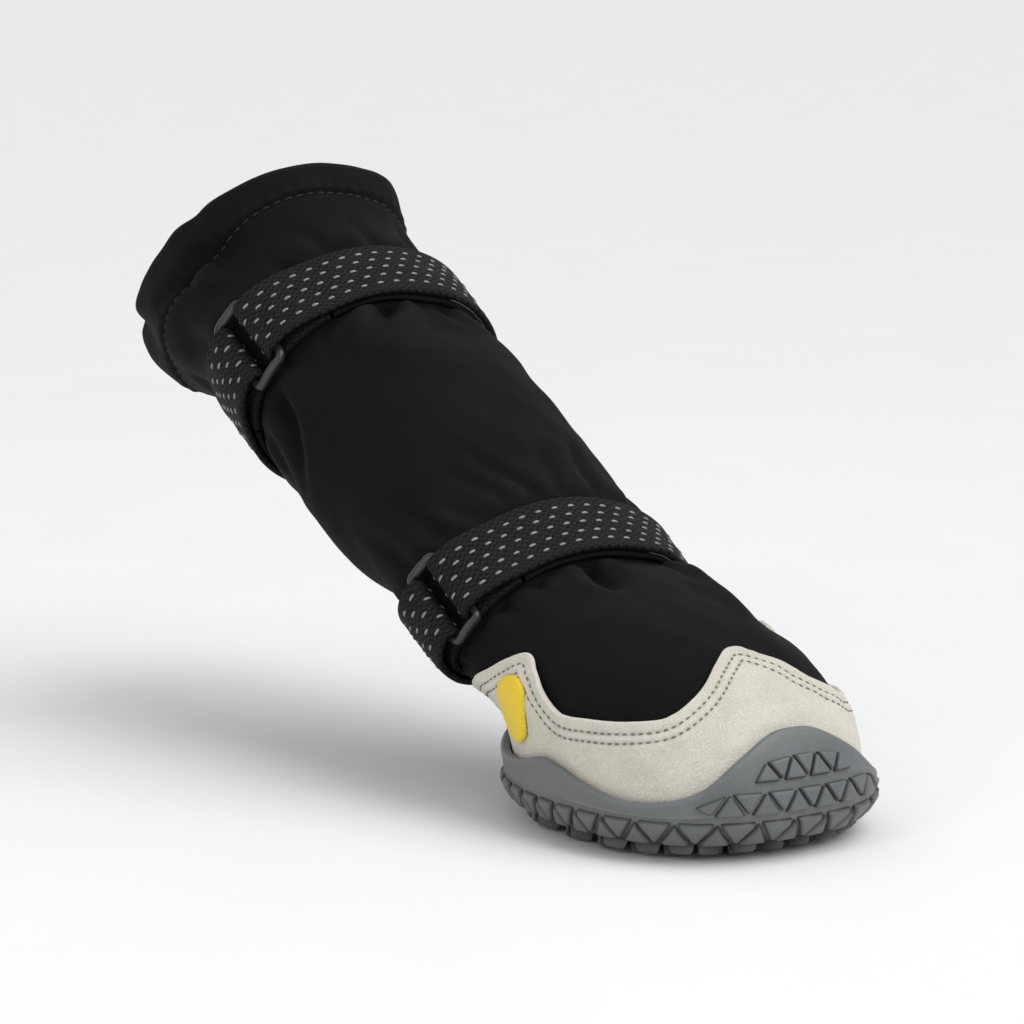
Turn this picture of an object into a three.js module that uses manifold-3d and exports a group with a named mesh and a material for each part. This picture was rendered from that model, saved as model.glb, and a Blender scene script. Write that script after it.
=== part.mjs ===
import * as THREE from 'three';
import { mergeVertices } from 'three/addons/utils/BufferGeometryUtils.js';
import Module from 'manifold-3d';

// Dog boot: a softshell sock with a long slack shaft, a suede guard round the foot,
// a cupped rubber outsole with triangular lugs, and two webbing straps with side rings.
// Millimetres, +Z up, toe toward -Y, the boot's own right side toward -X.
// The origin lies on the ground under the middle of the sole.

const wasm = await Module();
wasm.setup();

// Outsole
const SOLE_LENGTH = 80;
const SOLE_WIDTH = 68;
const SOLE_FLOOR = 3;
const CUP_WALL = 2;
const WIDEST_HEIGHT = 9.5;
const TOE_ROLL = 12;
const SIDE_ROLL = 8;
const HEEL_ROLL = 8;
const RIM_HEIGHT = 22;
const LIP_ROUND = 0.7;

// Lugs
const LUG_HEIGHT = 2;
const SIDE_LUG_HEIGHT = 1;
const LUG_SIDE = 6.5;
const LUG_TOP = 8.8;
const GROOVE = 1.1;
const LUG_ROOT = 0.9;
const BUMPER_LUG = 4.6;
const BUMPER_BAND = 1.2;
const LEAST_LUG = 1.6;
const RING_LUGS = 32;

// Facets round the upper
const AROUND = 30;

// Badge let into the heel of the sole
const BADGE_LENGTH = 18.5;
const BADGE_WIDTH = 8.2;
const BADGE_CORNER = 1.9;
const BADGE_BEHIND = SOLE_LENGTH * 0.3375;
const BADGE_POCKET = 0.9;
const BADGE_RELIEF = 1.5;

// Room between neighbouring pieces
const FIT_GAP = 0.3;

// Insole
const INSOLE_THICKNESS = 2.5;

// Suede guard and the embroidered bar on its right wing
const GUARD_GAP = 0.6;
const GUARD_WALL = 1.2;
const GUARD_HEIGHT = 35;
const MARK_HEIGHT = 13;
const MARK_WIDTH = 8.2;
const MARK_THICKNESS = 0.7;

// Upper
const UPPER_WALL = 1.3;
const HEM_WALL = 0.7;
const HEM_DEPTH = 7;
const INSTEP_HEIGHT = 47;
const SHAFT_LENGTH = 117;
const SHAFT_WIDTH = 58;
const SHAFT_DEPTH = 46;
const SHAFT_LEAN = 30;
const ANKLE_BEHIND = 51.4;
const ANKLE_HEIGHT = 43.6;

// Straps and their rings
const STRAP_WIDTH = 16;
const WEBBING = 1.4;
const ELASTIC = 1.2;
const RING_REACH = 11.5;
const RING_BAR = 2.2;
const RING_PLAY = 0.5;

// What follows from the sizes above
const degrees = THREE.MathUtils.degToRad;
const GUARD_OUT = GUARD_GAP + GUARD_WALL;
const CUP_IN = GUARD_OUT + FIT_GAP;
const CUP_OUT = CUP_IN + CUP_WALL;
const FOOT_HALF_LENGTH = SOLE_LENGTH / 2 - CUP_OUT - SIDE_LUG_HEIGHT;
const FOOT_HALF_WIDTH = SOLE_WIDTH / 2 - CUP_OUT - SIDE_LUG_HEIGHT;
const FLOOR_TOP = LUG_HEIGHT + SOLE_FLOOR;
const UPPER_BOTTOM = FLOOR_TOP + FIT_GAP;
const FOOT_RISE = INSTEP_HEIGHT - UPPER_BOTTOM;
const LUG_PITCH = LUG_SIDE * Math.sin(Math.PI / 3);

// Sections of the foot from the sole up to the lower strap. Each runs from a point on the
// front line (ahead, frontUp) to a point on the back line (behind, backUp). Lengths are shares
// of half the foot length, heights and sag of the foot's rise, wide of half the foot width.
// sag lowers the sides of a section, boxy squares it off as the last does near the sole.
const FOOT_ROWS = [
  { ahead: 0.895, frontUp: 0, behind: 0.91, backUp: 0, wide: 0.89, sag: 0, boxy: 1 },
  { ahead: 0.98, frontUp: 0.065, behind: 0.98, backUp: 0.065, wide: 0.98, sag: 0, boxy: 1 },
  { ahead: 0.99, frontUp: 0.16, behind: 1, backUp: 0.16, wide: 1, sag: 0, boxy: 1 },
  { ahead: 0.91, frontUp: 0.33, behind: 1.045, backUp: 0.28, wide: 1.015, sag: 0, boxy: 0.95 },
  { ahead: 0.765, frontUp: 0.495, behind: 1.105, backUp: 0.35, wide: 1.03, sag: 0, boxy: 0.9 },
  { ahead: 0.555, frontUp: 0.64, behind: 1.175, backUp: 0.39, wide: 1.035, sag: 0.012, boxy: 0.85 },
  { ahead: 0.27, frontUp: 0.77, behind: 1.245, backUp: 0.415, wide: 1.03, sag: 0.036, boxy: 0.7 },
  { ahead: -0.085, frontUp: 0.88, behind: 1.305, backUp: 0.43, wide: 1.01, sag: 0.06, boxy: 0.5 },
  { ahead: -0.455, frontUp: 0.965, behind: 1.35, backUp: 0.44, wide: 0.985, sag: 0.096, boxy: 0.3 },
  { ahead: -0.78, frontUp: 1, behind: 1.405, backUp: 0.45, wide: 0.99, sag: 0.12, boxy: 0.1 },
];

// Sections of the shaft. along is a share of the shaft's length from the ankle, across, sag and
// deep are shares of its depth (deep of half of it), wide of half its width, tilt in degrees.
const SHAFT_ROWS = [
  { along: -0.069, across: -0.014, tilt: 54.6, deep: 0.69, wide: 1, sag: 0.11 },
  { along: 0, across: -0.011, tilt: 59.5, deep: 0.714, wide: 1.01, sag: 0.11 },
  { along: 0.087, across: -0.011, tilt: 63.8, deep: 0.836, wide: 1.03, sag: 0.087 },
  { along: 0.217, across: -0.038, tilt: 64.8, deep: 1, wide: 1.034, sag: 0.065 },
  { along: 0.36, across: -0.048, tilt: 63.2, deep: 1.06, wide: 1.02, sag: 0.043 },
  { along: 0.473, across: -0.043, tilt: 61.8, deep: 1.036, wide: 0.997, sag: 0.02 },
  { along: 0.55, across: -0.042, tilt: 61.6, deep: 0.978, wide: 0.983, sag: 0 },
  { along: 0.619, across: -0.032, tilt: 64.1, deep: 0.976, wide: 0.997, sag: 0 },
  { along: 0.687, across: -0.023, tilt: 66.9, deep: 0.974, wide: 1.01, sag: 0 },
  { along: 0.797, across: -0.057, tilt: 60.4, deep: 1.1, wide: 1.02, sag: 0 },
  { along: 0.905, across: -0.083, tilt: 52.3, deep: 1.28, wide: 1.02, sag: 0 },
  { along: 1, across: -0.073, tilt: 43.4, deep: 1.41, wide: 1.01, sag: 0 },
];
const LOWER_STRAP_ROW = FOOT_ROWS.length;
const UPPER_STRAP_ROW = FOOT_ROWS.length + 7;
const WIDEST_AHEAD = 0.1;
const TOE_SQUARE = 0.35;
const HEEL_SQUARE = 0.15;

// Heights of the rubber rim and of the guard's edge round the foot. at is the bearing from the
// toe in degrees, the same on both sides, heights are shares of the two named heights.
const EDGE_ROWS = [
  { at: 0, rim: 1, guard: 1 },
  { at: 10, rim: 0.97, guard: 0.985 },
  { at: 22, rim: 0.81, guard: 0.925 },
  { at: 33, rim: 0.6, guard: 0.815 },
  { at: 44, rim: 0.525, guard: 0.72 },
  { at: 58, rim: 0.525, guard: 0.695 },
  { at: 74, rim: 0.62, guard: 0.692 },
  { at: 87, rim: 0.71, guard: 0.7 },
  { at: 96, rim: 0.735, guard: 0.775 },
  { at: 106, rim: 0.68, guard: 0.895 },
  { at: 112, rim: 0.65, guard: 0.95 },
  { at: 118, rim: 0.63, guard: 0.92 },
  { at: 127, rim: 0.62, guard: 0.84 },
  { at: 137, rim: 0.64, guard: 0.77 },
  { at: 152, rim: 0.71, guard: 0.66 },
  { at: 180, rim: 0.8, guard: 0.6 },
];

// Folds of the slack cloth: row and turn say where, long and broad how far they reach in rows
// and degrees, depth is a share of the shaft's depth, negative for a trough.
const FOLD_ROWS = [
  { row: 15.3, turn: 12, long: 0.7, broad: 14, depth: -0.05 },
  { row: 15, turn: -22, long: 0.8, broad: 12, depth: 0.035 },
  { row: 14.6, turn: 42, long: 0.8, broad: 13, depth: 0.03 },
  { row: 12.1, turn: -35, long: 0.6, broad: 16, depth: -0.03 },
  { row: 8.3, turn: -8, long: 0.5, broad: 10, depth: -0.05 },
  { row: 7.9, turn: 34, long: 1.2, broad: 10, depth: 0.045 },
  { row: 19.4, turn: -58, long: 0.8, broad: 16, depth: -0.06 },
  { row: 20.6, turn: -20, long: 1, broad: 18, depth: 0.035 },
  { row: 20.8, turn: 38, long: 1, broad: 20, depth: 0.05 },
  { row: 20.4, turn: -150, long: 1, broad: 22, depth: 0.06 },
];

// Smooth curve through table values
function between(before, from, to, after, share) {
  const rise = to - before;
  const fall = after - from;
  const square = share * share;
  const cube = square * share;
  const start = 2 * cube - 3 * square + 1;
  const end = 3 * square - 2 * cube;
  const leave = (cube - 2 * square + share) * rise * 0.5;
  const arrive = (cube - square) * fall * 0.5;
  return start * from + end * to + leave + arrive;
}

function footRing(row) {
  return {
    frontY: -FOOT_HALF_LENGTH * row.ahead,
    frontZ: UPPER_BOTTOM + FOOT_RISE * row.frontUp,
    backY: FOOT_HALF_LENGTH * row.behind,
    backZ: UPPER_BOTTOM + FOOT_RISE * row.backUp,
    wide: FOOT_HALF_WIDTH * row.wide,
    sag: FOOT_RISE * row.sag,
    boxy: row.boxy,
  };
}

function shaftRing(row) {
  const lean = degrees(SHAFT_LEAN);
  const tilt = degrees(row.tilt);
  const reach = SHAFT_LENGTH * row.along;
  const lift = SHAFT_DEPTH * row.across;
  const half = (SHAFT_DEPTH / 2) * row.deep;
  const y = ANKLE_BEHIND + reach * Math.cos(lean) - lift * Math.sin(lean);
  const z = ANKLE_HEIGHT + reach * Math.sin(lean) + lift * Math.cos(lean);
  return {
    frontY: y - half * Math.cos(tilt),
    frontZ: z + half * Math.sin(tilt),
    backY: y + half * Math.cos(tilt),
    backZ: z - half * Math.sin(tilt),
    wide: (SHAFT_WIDTH / 2) * row.wide,
    sag: SHAFT_DEPTH * row.sag,
    boxy: 0,
  };
}

const RINGS = [...FOOT_ROWS.map(footRing), ...SHAFT_ROWS.map(shaftRing)];
const TOP_ROW = RINGS.length - 1;

function ringAt(row) {
  const low = Math.min(Math.max(Math.floor(row), 0), TOP_ROW - 1);
  const share = row - low;
  const four = [low - 1, low, low + 1, low + 2].map((index) => {
    return RINGS[Math.min(Math.max(index, 0), TOP_ROW)];
  });
  const ring = {};
  for (const key of Object.keys(four[0])) {
    ring[key] = between(four[0][key], four[1][key], four[2][key], four[3][key], share);
  }
  return ring;
}

// Outer face of the upper, at a row of the tables and a turn round it: 0 at the toe side,
// positive toward the boot's left.
function smoothSkin(row, turn) {
  const ring = ringAt(row);
  const c = Math.cos(turn);
  const s = Math.sin(turn);
  const power = 2 + ring.boxy * (c > 0 ? TOE_SQUARE : HEEL_SQUARE);
  const round = (Math.abs(c) ** power + Math.abs(s) ** power) ** (-1 / power);
  const halfY = (ring.frontY - ring.backY) / 2;
  const halfZ = (ring.frontZ - ring.backZ) / 2;
  const shift = WIDEST_AHEAD * ring.boxy;
  const reach = shift + (c > 0 ? 1 - shift : 1 + shift) * c * round;
  const sag = ring.sag * (s * round) ** 2;
  const size = Math.hypot(halfY, halfZ);
  return new THREE.Vector3(
    ring.wide * s * round,
    (ring.frontY + ring.backY) / 2 + halfY * reach - (sag * halfZ) / size,
    (ring.frontZ + ring.backZ) / 2 + halfZ * reach + (sag * halfY) / size,
  );
}

function outward(row, turn) {
  const step = 0.02;
  const up = smoothSkin(Math.min(row + step, TOP_ROW), turn);
  up.sub(smoothSkin(Math.max(row - step, 0), turn));
  const round = smoothSkin(row, turn + step).sub(smoothSkin(row, turn - step));
  return round.cross(up).normalize();
}

function foldDepth(row, turn) {
  let depth = 0;
  for (const fold of FOLD_ROWS) {
    const swing = Math.atan2(Math.sin(turn - degrees(fold.turn)), Math.cos(turn - degrees(fold.turn)));
    const far = ((row - fold.row) / fold.long) ** 2 + (swing / degrees(fold.broad)) ** 2;
    depth += SHAFT_DEPTH * fold.depth * Math.exp(-far);
  }
  return depth;
}

function skin(row, turn, out) {
  const direction = outward(row, turn);
  const point = smoothSkin(row, turn);
  return point.addScaledVector(direction, out + foldDepth(row, turn));
}

// Point of the foot's skin at a bearing from the toe about the sole's middle and a height
function footPlace(bearing, height) {
  let low = 0;
  let high = LOWER_STRAP_ROW;
  let place = { row: 0, turn: bearing };
  for (let step = 0; step < 26; step += 1) {
    const row = (low + high) / 2;
    const turn = turnAt(row, bearing);
    place = { row, turn };
    if (smoothSkin(row, turn).z < height) {
      low = row;
    } else {
      high = row;
    }
  }
  return place;
}

function turnAt(row, bearing) {
  const side = bearing < 0 ? -1 : 1;
  let low = 0;
  let high = Math.PI;
  for (let step = 0; step < 26; step += 1) {
    const turn = (low + high) / 2;
    const point = smoothSkin(row, turn);
    if (Math.atan2(point.x, -point.y) < Math.abs(bearing)) {
      low = turn;
    } else {
      high = turn;
    }
  }
  return (side * (low + high)) / 2;
}

// The skin moved outward. Near the floor the move is level, so nothing dips below it.
function shellPoint(row, turn, out) {
  const direction = outward(row, turn);
  const point = smoothSkin(row, turn);
  const level = direction.clone();
  level.z *= Math.min(Math.max((point.z - UPPER_BOTTOM) / (WIDEST_HEIGHT - UPPER_BOTTOM), 0), 1);
  const along = level.divideScalar(level.dot(direction));
  return point.addScaledVector(along, out).addScaledVector(direction, foldDepth(row, turn));
}

function footSkin(bearing, height, out) {
  const place = footPlace(bearing, height);
  return shellPoint(place.row, place.turn, out);
}

function edgeHeight(bearing, column, height) {
  const rows = EDGE_ROWS;
  const at = Math.abs(THREE.MathUtils.radToDeg(bearing));
  let low = rows.findIndex((row) => row.at > at) - 1;
  if (low < 0) {
    low = rows.length - 2;
  }
  const share = (at - rows[low].at) / (rows[low + 1].at - rows[low].at);
  const before = rows[Math.abs(low - 1)][column];
  const after = rows[low + 2 < rows.length ? low + 2 : rows.length - 2][column];
  return height * between(before, rows[low][column], rows[low + 1][column], after, share);
}

// The two facets of a four-sided patch, split along the diagonal that lies further out
function patch(points, [a, b, c, d], inside) {
  const [pa, pb, pc, pd] = [a, b, c, d].map((index) => points[index]);
  const normal = pc.clone().sub(pa).cross(pd.clone().sub(pb));
  const middle = pa.clone().add(pb).add(pc).add(pd).divideScalar(4);
  const side = Math.sign(normal.dot(middle.sub(inside)));
  const ahead = side * normal.dot(pa.clone().add(pc).sub(pb).sub(pd));
  return ahead >= 0 ? [[a, b, c], [a, c, d]] : [[a, b, d], [b, c, d]];
}

function middleOf(points) {
  return points.reduce((sum, point) => sum.add(point), new THREE.Vector3()).divideScalar(points.length);
}

// Closed bodies from rows of points. Each row is a closed loop with the same number of points.
function bodyFromRows(rows, { looped = false } = {}) {
  const around = rows[0].length;
  const points = rows.flat();
  const faces = [];
  const bands = looped ? rows.length : rows.length - 1;
  for (let band = 0; band < bands; band += 1) {
    const next = (band + 1) % rows.length;
    const inside = middleOf([...rows[band], ...rows[next]]);
    for (let index = 0; index < around; index += 1) {
      const after = (index + 1) % around;
      const a = band * around + index;
      const b = band * around + after;
      const c = next * around + after;
      const d = next * around + index;
      faces.push(...patch(points, [a, b, c, d], inside));
    }
  }
  if (!looped) {
    for (const [row, flip] of [
      [0, true],
      [rows.length - 1, false],
    ]) {
      points.push(middleOf(rows[row]));
      for (let index = 0; index < around; index += 1) {
        const a = row * around + index;
        const b = row * around + ((index + 1) % around);
        faces.push(flip ? [b, a, points.length - 1] : [a, b, points.length - 1]);
      }
    }
  }
  return outwardBody(points, faces);
}

function signedVolume(points, faces) {
  let sum = 0;
  const cross = new THREE.Vector3();
  for (const [a, b, c] of faces) {
    sum += cross.crossVectors(points[b], points[c]).dot(points[a]);
  }
  return sum / 6;
}

// Points in one place become one, and facets that lose a side by it are left out
function outwardBody(points, faces) {
  const seen = new Map();
  const kept = [];
  const place = points.map((point) => {
    const key = point.toArray().map((value) => Math.round(value * 1e5)).join(' ');
    if (!seen.has(key)) {
      seen.set(key, kept.length);
      kept.push(point);
    }
    return seen.get(key);
  });
  const whole = faces.map((face) => face.map((index) => place[index]));
  const closed = whole.filter(([a, b, c]) => a !== b && b !== c && c !== a);
  const right = signedVolume(kept, closed) > 0;
  return { points: kept, faces: right ? closed : closed.map(([a, b, c]) => [a, c, b]) };
}

function joinBodies(bodies) {
  const points = [];
  const faces = [];
  for (const body of bodies) {
    const start = points.length;
    points.push(...body.points);
    faces.push(...body.faces.map((face) => face.map((index) => index + start)));
  }
  return { points, faces };
}

function geometryOf(body) {
  const geometry = new THREE.BufferGeometry();
  geometry.setFromPoints(body.points);
  geometry.setIndex(body.faces.flat());
  geometry.computeVertexNormals();
  return geometry;
}

function solidOf(body) {
  const bare = geometryOf(body);
  bare.deleteAttribute('normal');
  const merged = mergeVertices(bare, 1e-4);
  const mesh = new wasm.Mesh({
    numProp: 3,
    vertProperties: new Float32Array(merged.attributes.position.array),
    triVerts: new Uint32Array(merged.index.array),
  });
  return new wasm.Manifold(mesh);
}

function geometryOfSolid(solid) {
  const mesh = solid.getMesh();
  const geometry = new THREE.BufferGeometry();
  geometry.setAttribute('position', new THREE.BufferAttribute(mesh.vertProperties, 3));
  geometry.setIndex(new THREE.BufferAttribute(mesh.triVerts, 1));
  geometry.computeVertexNormals();
  return geometry;
}

function steps(count, from, to) {
  return Array.from({ length: count + 1 }, (unused, index) => from + ((to - from) * index) / count);
}

function roundTheFoot(count) {
  return Array.from({ length: count }, (unused, index) => ((index - count / 2 + 0.5) * 2 * Math.PI) / count);
}

function rimHeight(bearing) {
  return edgeHeight(bearing, 'rim', RIM_HEIGHT);
}

function guardHeight(bearing) {
  return edgeHeight(bearing, 'guard', GUARD_HEIGHT);
}

// Row at a way across a strap from its middle row
function strapRow(row, turn, way) {
  const stretches = 6;
  const near = 0.05;
  let place = row;
  for (let step = 0; step < stretches; step += 1) {
    const speed = smoothSkin(place + near, turn).distanceTo(smoothSkin(place - near, turn)) / (2 * near);
    place += way / stretches / speed;
  }
  return place;
}

// Guard and cup share their bearings and their levels up to the rim, so their facets run side
// by side. The bearings lie closer where the foot turns sharply.
const SHELL_SIDE = [5.5, 16.5, 27.5, 38, 49, 61, 75, 89, 101, 111, 120, 128, 137, 147, 160, 173.5];
const SHELL_BEARINGS = [...SHELL_SIDE.map((at) => -at).reverse(), ...SHELL_SIDE].map(degrees);
const SHELL_LEVELS = [
  () => UPPER_BOTTOM,
  () => UPPER_BOTTOM + 1.3,
  () => UPPER_BOTTOM + 2.9,
  () => UPPER_BOTTOM + 6,
  (bearing) => (UPPER_BOTTOM + 6 + rimHeight(bearing)) / 2,
  rimHeight,
  (bearing) => THREE.MathUtils.lerp(rimHeight(bearing), guardHeight(bearing), 0.28),
  (bearing) => THREE.MathUtils.lerp(rimHeight(bearing), guardHeight(bearing), 0.54),
  (bearing) => THREE.MathUtils.lerp(rimHeight(bearing), guardHeight(bearing), 0.78),
  guardHeight,
];
const CUP_LEVELS = SHELL_LEVELS.slice(0, 6);

function shellLoops(levels, out) {
  return levels.map((level) => SHELL_BEARINGS.map((bearing) => footSkin(bearing, level(bearing), out)));
}

// Upper: one hollow wall, open at the collar and underneath
const TURNS = roundTheFoot(AROUND);
const HEM_ROW = TOP_ROW - HEM_DEPTH / smoothSkin(TOP_ROW - 1, 0).distanceTo(smoothSkin(TOP_ROW, 0));
const FOOT_LEVELS = [0, 0.6, 1.3, 2, 3, 4, 5, 6, 7];
const SHAFT_LEVELS = [12, 13, 14, 15];
const COLLAR_LEVELS = [19, HEM_ROW, HEM_ROW + 0.04, TOP_ROW - 0.5, TOP_ROW - 0.1, TOP_ROW];
// Levels of the outer face that the inner face repeats, both edges of each strap among them.
const INSIDE_LEVELS = [0, 2, 4, 6, 8, 10, 12, 14, 16, 17, 19, 20, 22, 25];

function upperRows(turn) {
  const half = STRAP_WIDTH / 2;
  const lower = [-half, 0, half].map((way) => strapRow(LOWER_STRAP_ROW, turn, way));
  const upper = [-half, 0, half].map((way) => strapRow(UPPER_STRAP_ROW, turn, way));
  const vamp = (FOOT_LEVELS[FOOT_LEVELS.length - 1] + lower[0]) / 2;
  return [...FOOT_LEVELS, vamp, ...lower, ...SHAFT_LEVELS, ...upper, ...COLLAR_LEVELS];
}

function upperBody() {
  const rows = TURNS.map(upperRows);
  const levels = rows[0].map((unused, level) => rows.map((column) => column[level]));
  const outer = levels.map((level, index) => level.map((row, place) => {
    const lip = index === levels.length - 1 ? HEM_WALL / 2 : 0;
    const hem = row > HEM_ROW ? HEM_WALL : 0;
    return skin(row, TURNS[place], hem - lip);
  }));
  const kept = INSIDE_LEVELS.map((index) => levels[index]);
  const inner = kept.map((level) => level.map((row, place) => skin(row, TURNS[place], -UPPER_WALL)));
  return bodyFromRows([...outer, ...inner.reverse()], { looped: true });
}

// Insole: a plate that lies inside the upper on the floor of the cup
function insoleBody() {
  const loop = (height, inset) => TURNS.map((turn) => {
    const edge = skin(0, turn, -UPPER_WALL);
    const reach = Math.hypot(edge.x, edge.y);
    const share = (reach - FIT_GAP * 1.2 - inset) / reach;
    return new THREE.Vector3(edge.x * share, edge.y * share, height);
  });
  const top = UPPER_BOTTOM + INSOLE_THICKNESS;
  const edge = 0.5;
  return bodyFromRows([
    loop(UPPER_BOTTOM, 0),
    loop(top - edge, 0),
    loop(top, edge),
  ]);
}

// Suede guard: a shell on the upper, tucked into the cup
function guardBody() {
  const outer = shellLoops(SHELL_LEVELS, GUARD_OUT);
  const inner = shellLoops(SHELL_LEVELS, GUARD_GAP).reverse();
  return bodyFromRows([...outer, ...inner], { looped: true });
}

// Outsole: the cup's outer face, from the middle of the bottom out to the rim
function rollInset(bearing) {
  const toward = Math.cos(bearing);
  const end = toward > 0 ? TOE_ROLL : HEEL_ROLL;
  return SIDE_ROLL + (end - SIDE_ROLL) * toward * toward;
}

function cupProfile(bearing) {
  const widest = footSkin(bearing, WIDEST_HEIGHT, CUP_OUT);
  const plan = new THREE.Vector2(widest.x, widest.y);
  const reach = plan.length();
  const inset = rollInset(bearing);
  const points = steps(3, 0, Math.PI / 2).map((sweep) => {
    const out = reach - inset * (1 - Math.sin(sweep));
    const height = LUG_HEIGHT + (WIDEST_HEIGHT - LUG_HEIGHT) * (1 - Math.cos(sweep));
    return new THREE.Vector3((plan.x * out) / reach, (plan.y * out) / reach, height);
  });
  const rim = rimHeight(bearing) - LIP_ROUND;
  steps(3, 0, 1).slice(1).forEach((share) => {
    points.push(footSkin(bearing, WIDEST_HEIGHT + (rim - WIDEST_HEIGHT) * share, CUP_OUT));
  });
  return points;
}

function cupBody() {
  const profiles = SHELL_BEARINGS.map(cupProfile);
  const outer = profiles[0].map((unused, level) => profiles.map((profile) => profile[level]));
  const [lip] = shellLoops([rimHeight], CUP_OUT - LIP_ROUND);
  const inner = shellLoops(CUP_LEVELS, CUP_IN).reverse();
  const floor = inner[inner.length - 1].map((point) => new THREE.Vector3(point.x, point.y, FLOOR_TOP));
  return bodyFromRows([...outer, lip, ...inner, floor]);
}

// Outer face of the cup, unrolled: a bearing and a way along the face from the middle of the
// sole give a point, raised by out along the face's normal.
const CHART_AROUND = 96;
const CHART = Array.from({ length: CHART_AROUND }, (unused, index) => {
  const points = [new THREE.Vector3(0, 0, LUG_HEIGHT), ...cupProfile((index * 2 * Math.PI) / CHART_AROUND - Math.PI)];
  const lengths = [0];
  points.forEach((point, place) => {
    if (place > 0) {
      lengths.push(lengths[place - 1] + point.distanceTo(points[place - 1]));
    }
  });
  return { points, lengths };
});

function alongProfile(profile, way) {
  const { points, lengths } = profile;
  let place = lengths.findIndex((length) => length > way);
  if (place < 1) {
    place = lengths.length - 1;
  }
  const share = (way - lengths[place - 1]) / (lengths[place] - lengths[place - 1]);
  return points[place - 1].clone().lerp(points[place], share);
}

function chartAt(bearing, way) {
  const turn = ((bearing + Math.PI) / (2 * Math.PI)) * CHART_AROUND;
  const low = Math.floor(turn);
  const first = alongProfile(CHART[((low % CHART_AROUND) + CHART_AROUND) % CHART_AROUND], way);
  const second = alongProfile(CHART[(((low + 1) % CHART_AROUND) + CHART_AROUND) % CHART_AROUND], way);
  return first.lerp(second, turn - low);
}

function wayToHeight(bearing, height) {
  let low = 0;
  let high = SOLE_LENGTH;
  for (let step = 0; step < 24; step += 1) {
    const way = (low + high) / 2;
    if (chartAt(bearing, way).z < height) {
      low = way;
    } else {
      high = way;
    }
  }
  return low;
}

function chartNormal(bearing, way) {
  const step = 0.35;
  const swing = step / Math.max(way, step);
  const along = chartAt(bearing, way + step).sub(chartAt(bearing, Math.max(way - step, 0)));
  const round = chartAt(bearing + swing, way).sub(chartAt(bearing - swing, way));
  return round.cross(along).normalize();
}

// One lug: a three-sided frustum standing on the cup, from its corners on the unrolled face
function lugBody(corners, height) {
  const middle = corners.reduce((sum, corner) => sum.add(corner), new THREE.Vector2()).divideScalar(3);
  const side = corners[0].distanceTo(corners[1]) + corners[1].distanceTo(corners[2]) + corners[2].distanceTo(corners[0]);
  const inner = Math.abs(cornerArea(corners)) / (side / 2);
  const loop = (shrink, out) => corners.map((corner) => {
    const point = corner.clone().lerp(middle, shrink / inner);
    const bearing = Math.atan2(point.x, -point.y);
    const way = point.length();
    return chartAt(bearing, way).addScaledVector(chartNormal(bearing, way), out);
  });
  return bodyFromLoops(loop(GROOVE * 0.3, -LUG_ROOT), loop(GROOVE / 2, height));
}

function cornerArea([a, b, c]) {
  return ((b.x - a.x) * (c.y - a.y) - (b.y - a.y) * (c.x - a.x)) / 2;
}

function bodyFromLoops(root, top) {
  const faces = [
    [0, 2, 1],
    [3, 4, 5],
  ];
  for (let index = 0; index < 3; index += 1) {
    const after = (index + 1) % 3;
    faces.push([index, after, after + 3], [index, after + 3, index + 3]);
  }
  return outwardBody([...root, ...top], faces);
}

function lugHeightAt(middle) {
  const bearing = Math.atan2(middle.x, -middle.y);
  const height = chartAt(bearing, middle.length()).z;
  const share = Math.min(Math.max((height - LUG_HEIGHT) / (WIDEST_HEIGHT - LUG_HEIGHT) * 2, 0), 1);
  return LUG_HEIGHT + (SIDE_LUG_HEIGHT - LUG_HEIGHT) * share;
}

function bottomLugs() {
  const bodies = [];
  const limit = LUG_HEIGHT + LUG_SIDE * 0.16;
  const count = Math.ceil(SOLE_LENGTH / LUG_PITCH);
  for (let line = -count; line < count; line += 1) {
    for (let column = -count; column < count; column += 1) {
      for (const points of [0, 1]) {
        const shift = (((line % 2) + 2) % 2) * 0.5;
        const x = (column + shift - 0.5) * LUG_SIDE;
        const y = (line - 1 / 3) * LUG_PITCH;
        const corners = points
          ? [[x, y], [x + LUG_SIDE, y], [x + LUG_SIDE / 2, y + LUG_PITCH]]
          : [[x, y], [x + LUG_SIDE / 2, y - LUG_PITCH], [x + LUG_SIDE, y]];
        const triangle = corners.map(([cx, cy]) => new THREE.Vector2(cx, cy));
        const middle = new THREE.Vector2(x + LUG_SIDE / 2, y + (points ? 1 : -1) * LUG_PITCH / 3);
        const bearing = Math.atan2(middle.x, -middle.y);
        if (middle.length() < wayToHeight(bearing, limit) && !nearBadge(middle)) {
          bodies.push(lugBody(triangle, lugHeightAt(middle)));
        }
      }
    }
  }
  return bodies;
}

function nearBadge(middle) {
  const room = LUG_PITCH / 3 + FIT_GAP;
  const across = Math.abs(middle.x) < BADGE_LENGTH / 2 + room;
  return across && Math.abs(middle.y - BADGE_BEHIND) < BADGE_WIDTH / 2 + room;
}

// A row of lugs that point up and down in turn, between two heights on the side of the cup
function lugRow(from, to, half, count, ways = [0, 1]) {
  const bodies = [];
  const swing = (2 * half) / count;
  for (let index = 0; index < count; index += 1) {
    for (const points of ways) {
      const start = -half + (index + points / 2) * swing;
      const bearings = [start, start + swing, start + swing / 2];
      const heights = points ? [to, to, from] : [from, from, to];
      const corners = bearings.map((bearing, place) => {
        const way = wayToHeight(bearing, heights[place](bearing));
        return new THREE.Vector2(Math.sin(bearing) * way, -Math.cos(bearing) * way);
      });
      const last = index === count - 1 && points === 1 && half < Math.PI;
      const tall = Math.min(...bearings.map((bearing) => to(bearing) - from(bearing)));
      if (!last && tall > LEAST_LUG) {
        bodies.push(lugBody(corners, SIDE_LUG_HEIGHT));
      }
    }
  }
  return bodies;
}

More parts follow.
